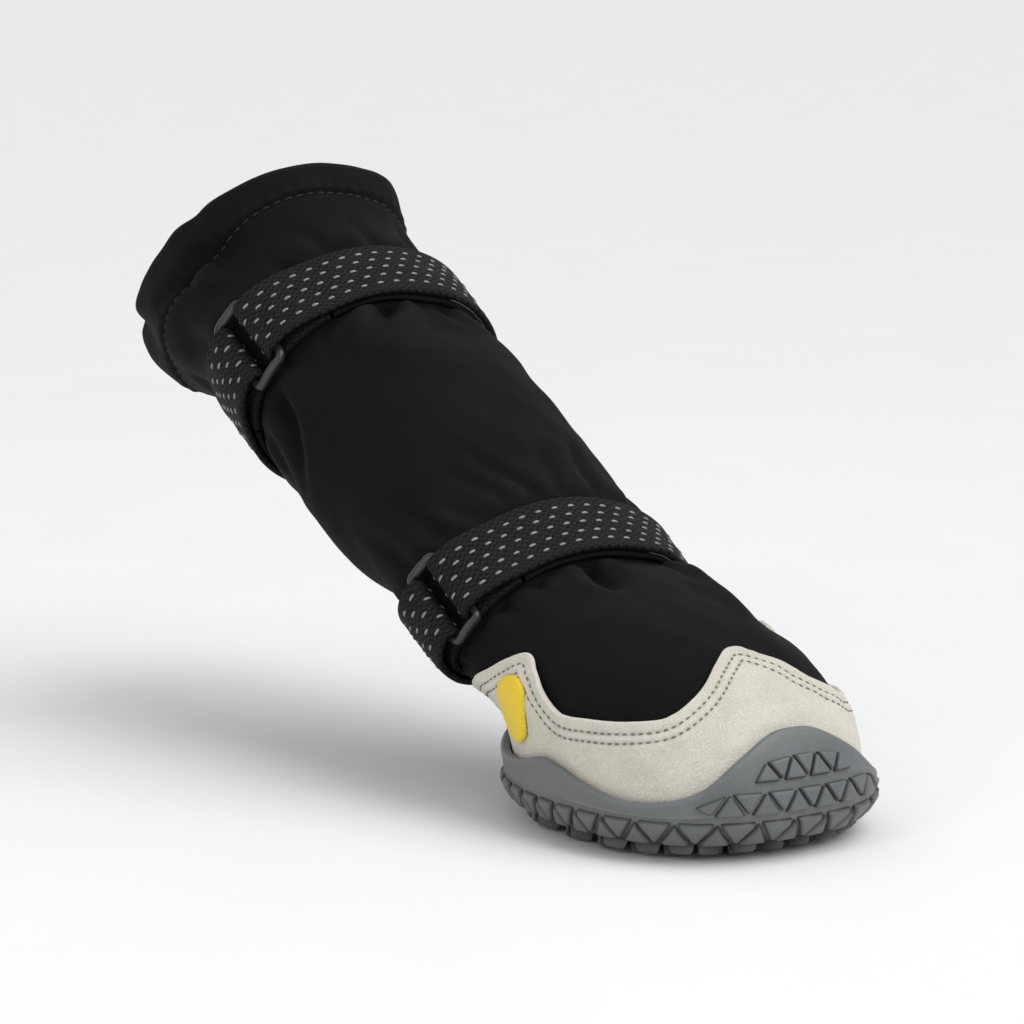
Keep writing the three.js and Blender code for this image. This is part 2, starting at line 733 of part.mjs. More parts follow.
function bumperRows() {
  const bodies = [];
  const rows = [
    { half: 40, count: 8 },
    { half: 28, count: 6 },
  ];
  rows.forEach((row, index) => {
    const low = LUG_TOP + BUMPER_BAND + index * (BUMPER_LUG + BUMPER_BAND);
    const top = (bearing) => {
      return Math.min(low + BUMPER_LUG, rimHeight(bearing) - BUMPER_BAND);
    };
    bodies.push(...lugRow(() => low, top, degrees(row.half), row.count));
  });
  return bodies;
}

function roundedOutline(length, width, corner, count) {
  const points = [];
  for (const [sx, sy, start] of [[1, 1, 0], [-1, 1, 90], [-1, -1, 180], [1, -1, 270]]) {
    steps(count, 0, 90).forEach((sweep) => {
      const angle = degrees(start + sweep);
      points.push(new THREE.Vector2(
        sx * (length / 2 - corner) + corner * Math.cos(angle),
        sy * (width / 2 - corner) + corner * Math.sin(angle),
      ));
    });
  }
  return points;
}

function plateBody(outline, levels) {
  const rows = levels.map(({ height, inset }) => outline(inset).map((point) => {
    return new THREE.Vector3(point.x, point.y + BADGE_BEHIND, height);
  }));
  return bodyFromRows(rows);
}

function badgeOutline(grow) {
  return roundedOutline(BADGE_LENGTH + 2 * grow, BADGE_WIDTH + 2 * grow, BADGE_CORNER + grow, 3);
}

function badgeBody() {
  const face = LUG_HEIGHT - BADGE_RELIEF;
  return plateBody(badgeOutline, [
    { height: face, inset: -0.4 },
    { height: face + 0.4, inset: 0 },
    { height: LUG_HEIGHT + BADGE_POCKET - FIT_GAP, inset: 0 },
  ]);
}

function badgePocket() {
  return plateBody(badgeOutline, [
    { height: -1, inset: FIT_GAP },
    { height: LUG_HEIGHT + BADGE_POCKET, inset: FIT_GAP },
  ]);
}

function outsoleGeometry() {
  const ringLow = () => LUG_HEIGHT + LUG_SIDE * 0.3;
  const ringTop = () => LUG_TOP;
  const ring = lugRow(ringLow, ringTop, Math.PI, RING_LUGS, [1]);
  const lugs = [...bottomLugs(), ...ring, ...bumperRows()];
  const solid = solidOf(cupBody()).add(solidOf(joinBodies(lugs))).subtract(solidOf(badgePocket()));
  return geometryOfSolid(solid);
}

// Point of a strap: a turn round the leg, a way across the band from its middle, a lift
function strapPoint(row, turn, way, out) {
  return skin(strapRow(row, turn, way), turn, out);
}

// A band from the middle line of its section: points of (arc round the leg, lift off the skin)
function bandBody(row, line, thickness) {
  const half = STRAP_WIDTH / 2;
  const ring = [[-half, -1], [0, -1], [half, -1], [half, 1], [0, 1], [-half, 1]];
  const points = line.flatMap((point, index) => {
    const before = line[Math.max(index - 1, 0)];
    const after = line[Math.min(index + 1, line.length - 1)];
    const along = after.clone().sub(before).normalize();
    return ring.map(([way, side]) => {
      const arc = point.x - (side * along.y * thickness) / 2;
      return strapPoint(row, arc / LEG_RADIUS, way, point.y + (side * along.x * thickness) / 2);
    });
  });
  const end = [[0, 1, 4], [0, 4, 5], [1, 2, 3], [1, 3, 4]];
  const last = points.length - ring.length;
  const { frontY, backY, frontZ, backZ } = ringAt(row);
  const leg = new THREE.Vector3(0, (frontY + backY) / 2, (frontZ + backZ) / 2);
  const faces = end.flatMap(([a, b, c]) => [[c, b, a], [a + last, b + last, c + last]]);
  for (let index = 0; index < line.length - 1; index += 1) {
    for (let place = 0; place < ring.length; place += 1) {
      const next = (place + 1) % ring.length;
      const a = index * ring.length + place;
      const b = index * ring.length + next;
      const c = b + ring.length;
      const d = a + ring.length;
      faces.push(...patch(points, [a, b, c, d], leg));
    }
  }
  return outwardBody(points, faces);
}

const LEG_RADIUS = SHAFT_WIDTH / 2;
const UNDER = FIT_GAP + WEBBING / 2;
const BAR_LIFT = FIT_GAP + WEBBING + FIT_GAP + RING_BAR / 2;
const LOOP = RING_BAR / 2 + 1.5 * FIT_GAP + WEBBING / 2;
const OVER = 2 * FIT_GAP + WEBBING + WEBBING / 2;
const STATION = (2 * Math.PI) / AROUND;

// Arc stations between two turns, on the same grid as the upper's facets
function stations(from, to) {
  const first = Math.ceil((from + 0.1 * STATION) / STATION - 0.5);
  const last = Math.floor((to - 0.1 * STATION) / STATION - 0.5);
  const inside = [];
  for (let index = first; index <= last; index += 1) {
    inside.push((index + 0.5) * STATION);
  }
  return [from, ...inside, to];
}

// A webbing end folded round a bar of the ring. way is 1 toward the toe side, -1 to the rear.
function foldedLine(bar, way, overTurn, underReach) {
  const line = [];
  const rise = [
    { back: 19, share: 0 },
    { back: 14, share: 0.16 },
    { back: 9, share: 0.55 },
    { back: 4.5, share: 0.9 },
  ];
  const from = bar + way * rise[0].back;
  const over = way > 0 ? stations(from / LEG_RADIUS, overTurn).reverse() : stations(overTurn, from / LEG_RADIUS);
  over.slice(0, -1).forEach((turn) => line.push(new THREE.Vector2(turn * LEG_RADIUS, OVER)));
  const top = BAR_LIFT + LOOP;
  rise.forEach(({ back, share }) => line.push(new THREE.Vector2(bar + way * back, OVER + (top - OVER) * share)));
  steps(6, 0, Math.PI).forEach((sweep) => {
    line.push(new THREE.Vector2(bar - way * LOOP * Math.sin(sweep), BAR_LIFT + LOOP * Math.cos(sweep)));
  });
  const ends = [bar + way, bar + way * underReach].map((arc) => arc / LEG_RADIUS);
  const under = way > 0 ? stations(ends[0], ends[1]) : stations(ends[1], ends[0]).reverse();
  under.forEach((turn) => line.push(new THREE.Vector2(turn * LEG_RADIUS, UNDER)));
  return line;
}

function elasticLine(from, to) {
  return stations(from, to).map((turn) => new THREE.Vector2(turn * LEG_RADIUS, FIT_GAP + ELASTIC / 2));
}

function ringBody(row, middle) {
  const length = STRAP_WIDTH + 2 * RING_PLAY + RING_BAR;
  const reach = RING_REACH - RING_BAR;
  const corner = RING_BAR * 0.55;
  const sides = 6;
  const loops = [];
  for (const [su, sw, start] of [[1, 1, 0], [-1, 1, 90], [-1, -1, 180], [1, -1, 270]]) {
    steps(2, 0, 90).forEach((sweep) => {
      const angle = degrees(start + sweep);
      loops.push({ u: su * (reach / 2 - corner), w: sw * (length / 2 - corner), angle, corner });
    });
    const isLong = start === 90 || start === 270;
    if (isLong) {
      loops.push({ u: su * (reach / 2 - corner), w: 0, angle: degrees(start + 90), corner });
    }
  }
  const rows = loops.map(({ u, w, angle, corner: round }) => steps(sides - 1, 0, sides - 1).map((side) => {
    const swing = ((side + 0.5) * 2 * Math.PI) / sides;
    const out = round + (RING_BAR / 2) * Math.cos(swing);
    const arc = middle + u + out * Math.cos(angle);
    const way = w + out * Math.sin(angle);
    return strapPoint(row, arc / LEG_RADIUS, way, BAR_LIFT + (RING_BAR / 2) * Math.sin(swing));
  }));
  return bodyFromRows(rows, { looped: true });
}

// The pieces of one strap. ringTurn is where its ring sits round the leg.
function strapBodies(row, ringTurn, freeTurn) {
  const middle = degrees(ringTurn) * LEG_RADIUS;
  const half = (RING_REACH - RING_BAR) / 2;
  const under = 14;
  const room = 1;
  const frontBar = middle + half;
  const rearBar = middle - half;
  const rearEnd = degrees(-168);
  const elasticFrom = (frontBar + under + room) / LEG_RADIUS;
  const elasticTo = 2 * Math.PI + (rearBar - under - room) / LEG_RADIUS;
  return {
    webbing: bandBody(row, foldedLine(frontBar, 1, degrees(freeTurn), under), WEBBING),
    tab: bandBody(row, foldedLine(rearBar, -1, rearEnd, under), WEBBING),
    elastic: bandBody(row, elasticLine(elasticFrom, elasticTo), ELASTIC),
    ring: ringBody(row, middle),
  };
}

// Embroidered bar on the guard's right wing
const MARK_BEARING = -114.5;
const MARK_MIDDLE = 23.4;
const MARK_SLANT = 0.12;

function markBody() {
  const outline = roundedOutline(MARK_WIDTH, MARK_HEIGHT, MARK_WIDTH / 2 - 0.1, 2);
  const loop = (share, out) => outline.map(({ x, y }) => {
    const bearing = degrees(MARK_BEARING) + (share * (x + y * MARK_SLANT)) / FOOT_HALF_WIDTH;
    return footSkin(bearing, MARK_MIDDLE + share * y, GUARD_OUT + 1.5 * FIT_GAP + out);
  });
  return bodyFromRows([
    loop(0.45, 0),
    loop(1, 0),
    loop(1, MARK_THICKNESS * 0.6),
    loop(0.88, MARK_THICKNESS),
    loop(0.45, MARK_THICKNESS),
  ]);
}

function pieceMesh(name, geometry, color, roughness) {
  const material = new THREE.MeshStandardMaterial({ color, roughness, metalness: 0 });
  const mesh = new THREE.Mesh(geometry, material);
  mesh.name = name;
  return mesh;
}

const boot = new THREE.Group();
boot.name = 'dog_boot';
boot.add(pieceMesh('outsole', outsoleGeometry(), 0x747878, 0.65));
boot.add(pieceMesh('sole_badge', geometryOf(badgeBody()), 0xcda019, 0.4));
boot.add(pieceMesh('insole', geometryOf(insoleBody()), 0x2a2a2a, 0.9));
boot.add(pieceMesh('upper', geometryOf(upperBody()), 0x19171a, 0.85));
boot.add(pieceMesh('toe_guard', geometryOf(guardBody()), 0xd8d3c6, 0.95));
boot.add(pieceMesh('wing_mark', geometryOf(markBody()), 0xf5dc2a, 0.7));
for (const [name, row, ringTurn, freeTurn] of [
  ['lower', LOWER_STRAP_ROW, -74, 75],
  ['upper', UPPER_STRAP_ROW, -72, 75],
]) {
  const { webbing, tab, elastic, ring } = strapBodies(row, ringTurn, freeTurn);
  boot.add(pieceMesh(`${name}_strap_webbing`, geometryOf(webbing), 0x1b1b1d, 0.8));
  boot.add(pieceMesh(`${name}_strap_tab`, geometryOf(tab), 0x1b1b1d, 0.8));
  boot.add(pieceMesh(`${name}_strap_elastic`, geometryOf(elastic), 0x161617, 0.9));
  boot.add(pieceMesh(`${name}_strap_ring`, geometryOf(ring), 0x202022, 0.35));
}

export default boot;
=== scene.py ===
import math

import bpy
import numpy as np
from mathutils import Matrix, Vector


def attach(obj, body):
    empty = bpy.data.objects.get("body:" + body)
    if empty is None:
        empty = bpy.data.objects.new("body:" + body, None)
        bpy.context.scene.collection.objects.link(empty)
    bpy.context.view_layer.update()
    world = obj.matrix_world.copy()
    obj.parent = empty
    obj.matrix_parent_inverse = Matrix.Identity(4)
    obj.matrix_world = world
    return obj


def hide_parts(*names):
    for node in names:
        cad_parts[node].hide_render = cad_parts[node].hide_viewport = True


# The dog boot, dressed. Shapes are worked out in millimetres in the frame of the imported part:
# +Z up, toe toward -Y, the boot's own right side toward -X. They become metres in make_piece.

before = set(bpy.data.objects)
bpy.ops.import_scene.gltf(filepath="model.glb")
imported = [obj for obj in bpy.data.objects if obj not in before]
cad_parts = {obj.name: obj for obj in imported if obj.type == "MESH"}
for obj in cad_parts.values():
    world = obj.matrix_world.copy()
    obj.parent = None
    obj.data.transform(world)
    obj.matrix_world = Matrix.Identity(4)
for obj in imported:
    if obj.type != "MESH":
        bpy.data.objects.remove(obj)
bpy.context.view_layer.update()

MM = 0.001

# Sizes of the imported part
SOLE_LENGTH, SOLE_WIDTH = 80.0, 68.0
SOLE_FLOOR, CUP_WALL, WIDEST_HEIGHT = 3.0, 2.0, 9.5
TOE_ROLL, SIDE_ROLL, HEEL_ROLL = 12.0, 8.0, 8.0
RIM_HEIGHT, LIP_ROUND = 22.0, 0.7
LUG_HEIGHT, SIDE_LUG_HEIGHT, LUG_SIDE, LUG_TOP = 2.0, 1.0, 6.5, 8.8
GROOVE, LUG_ROOT, RING_LUGS = 1.1, 0.5, 32
BUMPER_LUG, BUMPER_BAND, LEAST_LUG = 4.6, 1.2, 1.5
BADGE_LENGTH, BADGE_WIDTH, BADGE_CORNER, BADGE_BEHIND = 18.5, 8.2, 1.9, 27.0
BADGE_POCKET, BADGE_RELIEF = 0.9, 1.5
FIT_GAP = 0.3
GUARD_GAP, GUARD_WALL, GUARD_HEIGHT = 0.6, 1.2, 35.0
MARK_HEIGHT, MARK_WIDTH, MARK_THICKNESS = 13.0, 8.2, 0.7
MARK_BEARING, MARK_MIDDLE, MARK_SLANT = math.radians(-114.5), 23.4, 0.12
UPPER_WALL, HEM_WALL, HEM_DEPTH, INSTEP_HEIGHT = 1.3, 0.7, 7.0, 47.0
SHAFT_LENGTH, SHAFT_WIDTH, SHAFT_DEPTH, SHAFT_LEAN = 117.0, 58.0, 46.0, math.radians(30)
ANKLE_BEHIND, ANKLE_HEIGHT = 51.4, 43.6
STRAP_WIDTH, WEBBING, ELASTIC = 16.0, 1.4, 1.2
RING_REACH, RING_BAR, RING_PLAY = 11.5, 2.2, 0.5

GUARD_OUT = GUARD_GAP + GUARD_WALL
CUP_IN = GUARD_OUT + FIT_GAP
CUP_OUT = CUP_IN + CUP_WALL
HALF_LENGTH = SOLE_LENGTH / 2 - CUP_OUT - SIDE_LUG_HEIGHT
HALF_WIDTH = SOLE_WIDTH / 2 - CUP_OUT - SIDE_LUG_HEIGHT
FLOOR_TOP = LUG_HEIGHT + SOLE_FLOOR
UPPER_BOTTOM = FLOOR_TOP + FIT_GAP
FOOT_RISE = INSTEP_HEIGHT - UPPER_BOTTOM
LUG_PITCH = LUG_SIDE * math.sin(math.pi / 3)
LEG_RADIUS = SHAFT_WIDTH / 2
LOWER_ROW, UPPER_ROW = 10, 17

# Sections of the foot: ahead, frontUp, behind, backUp, wide, sag, boxy
FOOT_ROWS = [
    (0.895, 0, 0.91, 0, 0.89, 0, 1),
    (0.98, 0.065, 0.98, 0.065, 0.98, 0, 1),
    (0.99, 0.16, 1, 0.16, 1, 0, 1),
    (0.91, 0.33, 1.045, 0.28, 1.015, 0, 0.95),
    (0.765, 0.495, 1.105, 0.35, 1.03, 0, 0.9),
    (0.555, 0.64, 1.175, 0.39, 1.035, 0.012, 0.85),
    (0.27, 0.77, 1.245, 0.415, 1.03, 0.036, 0.7),
    (-0.085, 0.88, 1.305, 0.43, 1.01, 0.06, 0.5),
    (-0.455, 0.965, 1.35, 0.44, 0.985, 0.096, 0.3),
    (-0.78, 1, 1.405, 0.45, 0.99, 0.12, 0.1),
]
# Sections of the shaft: along, across, tilt, deep, wide, sag
SHAFT_ROWS = [
    (-0.069, -0.014, 54.6, 0.69, 1, 0.11),
    (0, -0.011, 59.5, 0.714, 1.01, 0.11),
    (0.087, -0.011, 63.8, 0.836, 1.03, 0.087),
    (0.217, -0.038, 64.8, 1, 1.034, 0.065),
    (0.36, -0.048, 63.2, 1.06, 1.02, 0.043),
    (0.473, -0.043, 61.8, 1.036, 0.997, 0.02),
    (0.55, -0.042, 61.6, 0.978, 0.983, 0),
    (0.619, -0.032, 64.1, 0.976, 0.997, 0),
    (0.687, -0.023, 66.9, 0.974, 1.01, 0),
    (0.797, -0.057, 60.4, 1.1, 1.02, 0),
    (0.905, -0.083, 52.3, 1.28, 1.02, 0),
    (1, -0.073, 43.4, 1.41, 1.01, 0),
]
# Heights of the rubber rim and the guard's edge round the foot: bearing, rim, guard
EDGE_ROWS = np.array([
    (0, 1, 1), (10, 0.97, 0.985), (22, 0.81, 0.925), (33, 0.6, 0.815), (44, 0.525, 0.72),
    (58, 0.525, 0.695), (74, 0.62, 0.692), (87, 0.71, 0.7), (96, 0.735, 0.775),
    (106, 0.68, 0.895), (112, 0.65, 0.95), (118, 0.63, 0.92), (127, 0.62, 0.84), (137, 0.64, 0.77),
    (152, 0.71, 0.66), (180, 0.8, 0.6),
])
# Broad folds of the slack cloth: row, turn, long, broad, depth as a share of the shaft's depth
FOLD_ROWS = [
    (15.3, 12, 0.7, 14, -0.05),
    (15, -22, 0.8, 12, 0.035),
    (14.6, 42, 0.8, 13, 0.03),
    (12.1, -35, 0.6, 16, -0.03),
    (8.3, -8, 0.5, 10, -0.05),
    (7.9, 34, 1.2, 10, 0.045),
    (19.4, -58, 0.8, 16, -0.06),
    (20.6, -20, 1, 18, 0.035),
    (20.8, 38, 1, 20, 0.05),
    (20.4, -150, 1, 22, 0.06),
]
# Creases: places along the crease as (row, turn in degrees), half width and
# depth in mm (negative for a valley). A crease is deepest at its first place and fades out.
CREASES = [
    # under the upper strap
    ([(16.1, -8), (15.5, -14), (15.1, -21), (14.7, -30)], 2.3, -2.6),
    ([(16.0, -19), (15.5, -27), (15.0, -32), (14.5, -36)], 3.4, 1.5),
    ([(16.0, 3), (15.4, -3), (14.8, -12)], 3.6, 1.2),
    ([(16.1, 22), (15.6, 24), (15.0, 29)], 2.2, -1.3),
    ([(16.0, 40), (15.4, 45), (14.7, 52)], 2.4, -1.5),
    ([(16.0, 68), (15.5, 74), (14.9, 84)], 2.6, -1.6),
    ([(16.0, 96), (15.3, 102), (14.6, 104)], 2.5, -1.5),
    ([(16.0, 128), (15.4, 131), (14.8, 138)], 2.4, -1.3),
    ([(16.0, 158), (15.5, 160), (15.0, 158)], 2.3, -1.1),
    ([(16.1, -40), (15.6, -44), (15.1, -47)], 1.9, -1.0),
    # below the upper ring
    ([(15.5, -80), (14.9, -84), (14.4, -94), (14.0, -104)], 2.4, -3.0),
    ([(15.4, -70), (14.7, -73), (14.0, -80)], 3.6, 1.5),
    ([(15.4, -104), (14.8, -112), (14.3, -116)], 2.4, -1.4),
    ([(15.6, -140), (15.0, -146), (14.4, -148)], 2.4, -1.3),
    # above the lower strap
    ([(11.2, -5), (11.7, -11), (12.2, -19), (12.8, -30)], 1.9, -1.25),
    ([(11.2, 5), (11.8, 8), (12.5, 8)], 1.8, -0.9),
    ([(11.3, -20), (11.9, -27), (12.4, -38)], 1.9, -0.95),
    ([(11.3, -38), (11.8, -46), (12.2, -55)], 1.9, -0.8),
    ([(11.4, -56), (12.0, -61), (12.7, -70)], 2.4, -1.6),
    ([(11.4, -82), (12.1, -86), (12.9, -92)], 2.4, -1.5),
    ([(11.3, 24), (12.0, 26), (12.7, 33)], 2.1, -1.2),
    ([(11.3, 50), (11.9, 56), (12.6, 66)], 2.3, -1.5),
    ([(11.3, 84), (12.0, 88), (12.8, 90)], 2.5, -1.5),
    ([(11.2, 122), (11.8, 126), (12.5, 124)], 2.4, -1.3),
    ([(11.2, 150), (11.9, 155), (12.7, 165)], 2.6, -1.6),
    ([(11.2, -118), (11.9, -122), (12.6, -130)], 2.4, -1.3),
    ([(11.2, -155), (12.0, -160), (12.7, -172)], 2.5, -1.5),
    # over the vamp, under the lower strap
    ([(9.15, -4), (8.75, -6), (8.3, -9), (7.8, -10)], 1.7, -2.3),
    ([(9.1, -15), (8.6, -18), (8.1, -18), (7.5, -14)], 2.6, 1.1),
    ([(9.1, 7), (8.6, 5), (8.1, 1)], 2.6, 1.0),
    ([(9.2, 38), (8.5, 40), (7.6, 40), (6.8, 34), (6.1, 24)], 2.8, 1.8),
    ([(9.1, 28), (8.4, 31), (7.7, 31)], 1.8, -1.2),
    ([(9.1, 52), (8.4, 54), (7.6, 52)], 1.9, -1.2),
    ([(9.1, -30), (8.5, -34), (7.9, -34)], 1.8, -0.9),
    ([(9.1, -52), (8.5, -54), (7.9, -52)], 2.0, -1.0),
    # the collar and its hem
    ([(20.05, -66), (19.95, -78), (20.15, -92), (20.3, -104)], 2.4, -2.4),
    ([(20.05, -66), (19.75, -54), (19.6, -42)], 2.4, -2.0),
    ([(19.55, -72), (19.2, -64), (18.7, -58)], 3.0, 1.7),
    ([(18.1, -36), (18.6, -40), (19.1, -42)], 2.0, -0.9),
    ([(18.1, -14), (18.6, -18), (19.2, -26)], 2.2, -1.1),
    ([(18.1, 8), (18.7, 6), (19.3, 2)], 2.0, -0.9),
    ([(18.2, 34), (18.8, 38), (19.6, 40)], 2.3, -1.4),
    ([(18.2, 66), (18.9, 70), (19.7, 68)], 2.4, -1.5),
    ([(18.2, 100), (18.9, 108), (19.8, 112)], 2.6, -1.7),
    ([(18.1, 140), (18.8, 142), (19.6, 150)], 2.6, -1.6),
    ([(18.1, -92), (18.7, -98), (19.4, -108)], 2.6, -1.8),
    ([(18.1, -124), (18.8, -130), (19.5, -128)], 2.6, -1.7),
    ([(18.1, -165), (18.8, -170), (19.6, -172)], 2.6, -1.5),
    ([(21, -58), (20.7, -60), (20.3, -58)], 3.4, -1.2),
    ([(21, -128), (20.6, -124), (20.2, -118)], 3.6, -2.2),
    ([(21, 70), (20.6, 72), (20.2, 78)], 4.0, -1.8),
    ([(21, 128), (20.6, 124), (20.2, 120)], 4.2, -1.8),
]


# The boot's skin

def between(before, start, end, after, share):
    """Smooth curve through table values."""
    square, cube = share * share, share ** 3
    leave = (cube - 2 * square + share) * (end - before) / 2
    arrive = (cube - square) * (after - start) / 2
    return (2 * cube - 3 * square + 1) * start + (3 * square - 2 * cube) * end + leave + arrive


def section_table():
    rows = []
    for ahead, front_up, behind, back_up, wide, sag, boxy in FOOT_ROWS:
        rows.append((
            -HALF_LENGTH * ahead, UPPER_BOTTOM + FOOT_RISE * front_up,
            HALF_LENGTH * behind, UPPER_BOTTOM + FOOT_RISE * back_up,
            HALF_WIDTH * wide, FOOT_RISE * sag, boxy,
        ))
    for along, across, tilt, deep, wide, sag in SHAFT_ROWS:
        reach, lift, half = SHAFT_LENGTH * along, SHAFT_DEPTH * across, SHAFT_DEPTH / 2 * deep
        y = ANKLE_BEHIND + reach * math.cos(SHAFT_LEAN) - lift * math.sin(SHAFT_LEAN)
        z = ANKLE_HEIGHT + reach * math.sin(SHAFT_LEAN) + lift * math.cos(SHAFT_LEAN)
        dy, dz = half * math.cos(math.radians(tilt)), half * math.sin(math.radians(tilt))
        rows.append((y - dy, z + dz, y + dy, z - dz, SHAFT_WIDTH / 2 * wide, SHAFT_DEPTH * sag, 0))
    return np.array(rows)


SECTIONS = section_table()
TOP_ROW = len(SECTIONS) - 1


def section_at(row):
    low = np.clip(np.floor(row).astype(int), 0, TOP_ROW - 1)
    four = [SECTIONS[np.clip(low + step, 0, TOP_ROW)] for step in (-1, 0, 1, 2)]
    return np.moveaxis(between(*four, (row - low)[..., None]), -1, 0)


def smooth_skin(row, turn):
    """Outer face of the upper at a row of the tables and a turn round it, 0 at the toe side."""
    row, turn = np.broadcast_arrays(np.asarray(row, float), np.asarray(turn, float))
    front_y, front_z, back_y, back_z, wide, sag, boxy = section_at(row)
    c, s = np.cos(turn), np.sin(turn)
    power = 2 + boxy * np.where(c > 0, 0.35, 0.15)
    rounding = (np.abs(c) ** power + np.abs(s) ** power) ** (-1 / power)
    half_y, half_z = (front_y - back_y) / 2, (front_z - back_z) / 2
    shift = 0.1 * boxy
    reach = shift + np.where(c > 0, 1 - shift, 1 + shift) * c * rounding
    drop = sag * (s * rounding) ** 2 / np.hypot(half_y, half_z)
    return np.stack([
        wide * s * rounding,
        (front_y + back_y) / 2 + half_y * reach - drop * half_z,
        (front_z + back_z) / 2 + half_z * reach + drop * half_y,
    ], -1)


def unit(vectors):
    return vectors / np.maximum(np.linalg.norm(vectors, axis=-1, keepdims=True), 1e-9)


def outward(row, turn):
    step = 0.02
    up = smooth_skin(np.minimum(row + step, TOP_ROW), turn)
    up = up - smooth_skin(np.maximum(row - step, 0), turn)
    around = smooth_skin(row, turn + step) - smooth_skin(row, turn - step)
    return unit(np.cross(around, up))


def fold_depth(row, turn):
    depth = 0
    for at, facing, long, broad, share in FOLD_ROWS:
        swing = turn - math.radians(facing)
        swing = np.arctan2(np.sin(swing), np.cos(swing))
        far = ((row - at) / long) ** 2 + (swing / math.radians(broad)) ** 2
        depth = depth + SHAFT_DEPTH * share * np.exp(-far)
    return depth


def skin(row, turn, out):
    lift = (out + fold_depth(row, turn))[..., None]
    return smooth_skin(row, turn) + outward(row, turn) * lift


# Turn and height at a row and a bearing from the toe, tabled so that they can be looked up
TABLE_ROWS = np.linspace(0, LOWER_ROW, 301)
TABLE_BEARINGS = np.radians(np.linspace(0, 180, 541))


def foot_tables():
    turns = np.linspace(0, math.pi, 721)
    points = smooth_skin(TABLE_ROWS[:, None], turns[None, :])
    bearings = np.arctan2(points[..., 0], -points[..., 1])
    bearings[:, 0], bearings[:, -1] = 0, math.pi
    turn_table = np.array([np.interp(TABLE_BEARINGS, row, turns) for row in bearings])
    return turn_table, smooth_skin(TABLE_ROWS[:, None], turn_table)[..., 2]


TURN_TABLE, HEIGHT_TABLE = foot_tables()


def look_up(table, row, bearing):
    x = np.clip(row / TABLE_ROWS[-1] * (len(TABLE_ROWS) - 1), 0, len(TABLE_ROWS) - 1.001)
    y = np.clip(bearing / math.pi * (len(TABLE_BEARINGS) - 1), 0, len(TABLE_BEARINGS) - 1.001)
    i, j = x.astype(int), y.astype(int)
    u, v = x - i, y - j
    low = table[i, j] * (1 - v) + table[i, j + 1] * v
    high = table[i + 1, j] * (1 - v) + table[i + 1, j + 1] * v
    return low * (1 - u) + high * u


def foot_place(bearing, height):
    """Row and turn at a bearing from the toe about the sole's middle and a height."""
    bearing, height = np.broadcast_arrays(np.asarray(bearing, float), np.asarray(height, float))
    side = np.sign(np.sin(bearing))
    swing = np.abs(np.arctan2(np.sin(bearing), np.cos(bearing)))
    low, high = np.zeros(swing.shape), np.full(swing.shape, float(LOWER_ROW))
    for _ in range(26):
        middle = (low + high) / 2
        below = look_up(HEIGHT_TABLE, middle, swing) < height
        low, high = np.where(below, middle, low), np.where(below, high, middle)
    row = (low + high) / 2
    return row, side * look_up(TURN_TABLE, row, swing)


def foot_skin(bearing, height, out):
    """The skin moved outward. Near the floor the move is level, so nothing dips below it."""
    row, turn = foot_place(bearing, height)
    point, direction = smooth_skin(row, turn), outward(row, turn)
    level = direction.copy()
    level[..., 2] *= np.clip((point[..., 2] - UPPER_BOTTOM) / (WIDEST_HEIGHT - UPPER_BOTTOM), 0, 1)
    level /= (level * direction).sum(-1, keepdims=True)
    out = np.broadcast_to(out, row.shape)[..., None]
    return point + level * out + direction * fold_depth(row, turn)[..., None]


def edge_height(bearing, column, height):
    at = np.degrees(np.abs(np.arctan2(np.sin(bearing), np.cos(bearing))))
    last = len(EDGE_ROWS) - 1
    low = np.clip(np.searchsorted(EDGE_ROWS[:, 0], at, side="right") - 1, 0, last - 1)
    share = (at - EDGE_ROWS[low, 0]) / (EDGE_ROWS[low + 1, 0] - EDGE_ROWS[low, 0])
    after = np.where(low + 2 <= last, low + 2, last - 1)
    values = EDGE_ROWS[:, column]
    return height * between(values[np.abs(low - 1)], values[low], values[low + 1], values[after], share)


def rim_height(bearing):
    return edge_height(np.asarray(bearing, float), 1, RIM_HEIGHT)


def guard_height(bearing):
    return edge_height(np.asarray(bearing, float), 2, GUARD_HEIGHT)


def waves(points, seed, count, shortest, longest):
    """Soft seeded unevenness, about -1 to 1, with wavelengths in mm."""
    source = np.random.default_rng(seed)
    total = np.zeros(points.shape[:-1])
    for _ in range(count):
        direction = unit(source.normal(size=3))
        length = source.uniform(shortest, longest)
        total += np.sin(points @ direction * 2 * math.pi / length + source.uniform(0, 6.3))
    return total / math.sqrt(count)


def swell(value):
    """Smooth step from 0 to 1."""
    value = np.clip(value, 0, 1)
    return value * value * (3 - 2 * value)


def bell(away, breadth):
    return np.exp(-(away / breadth) ** 2)


# Meshes

def grid_faces(rows, columns, start=0, loop=False):
    """Quads between rings of points. loop joins the last ring to the first."""
    down = rows if loop else rows - 1
    i, j = np.meshgrid(np.arange(down), np.arange(columns), indexing="ij")
    after, below = (j + 1) % columns, (i + 1) % rows
    quads = [i * columns + j, i * columns + after, below * columns + after, below * columns + j]
    return (np.stack(quads, -1).reshape(-1, 4) + start).tolist()


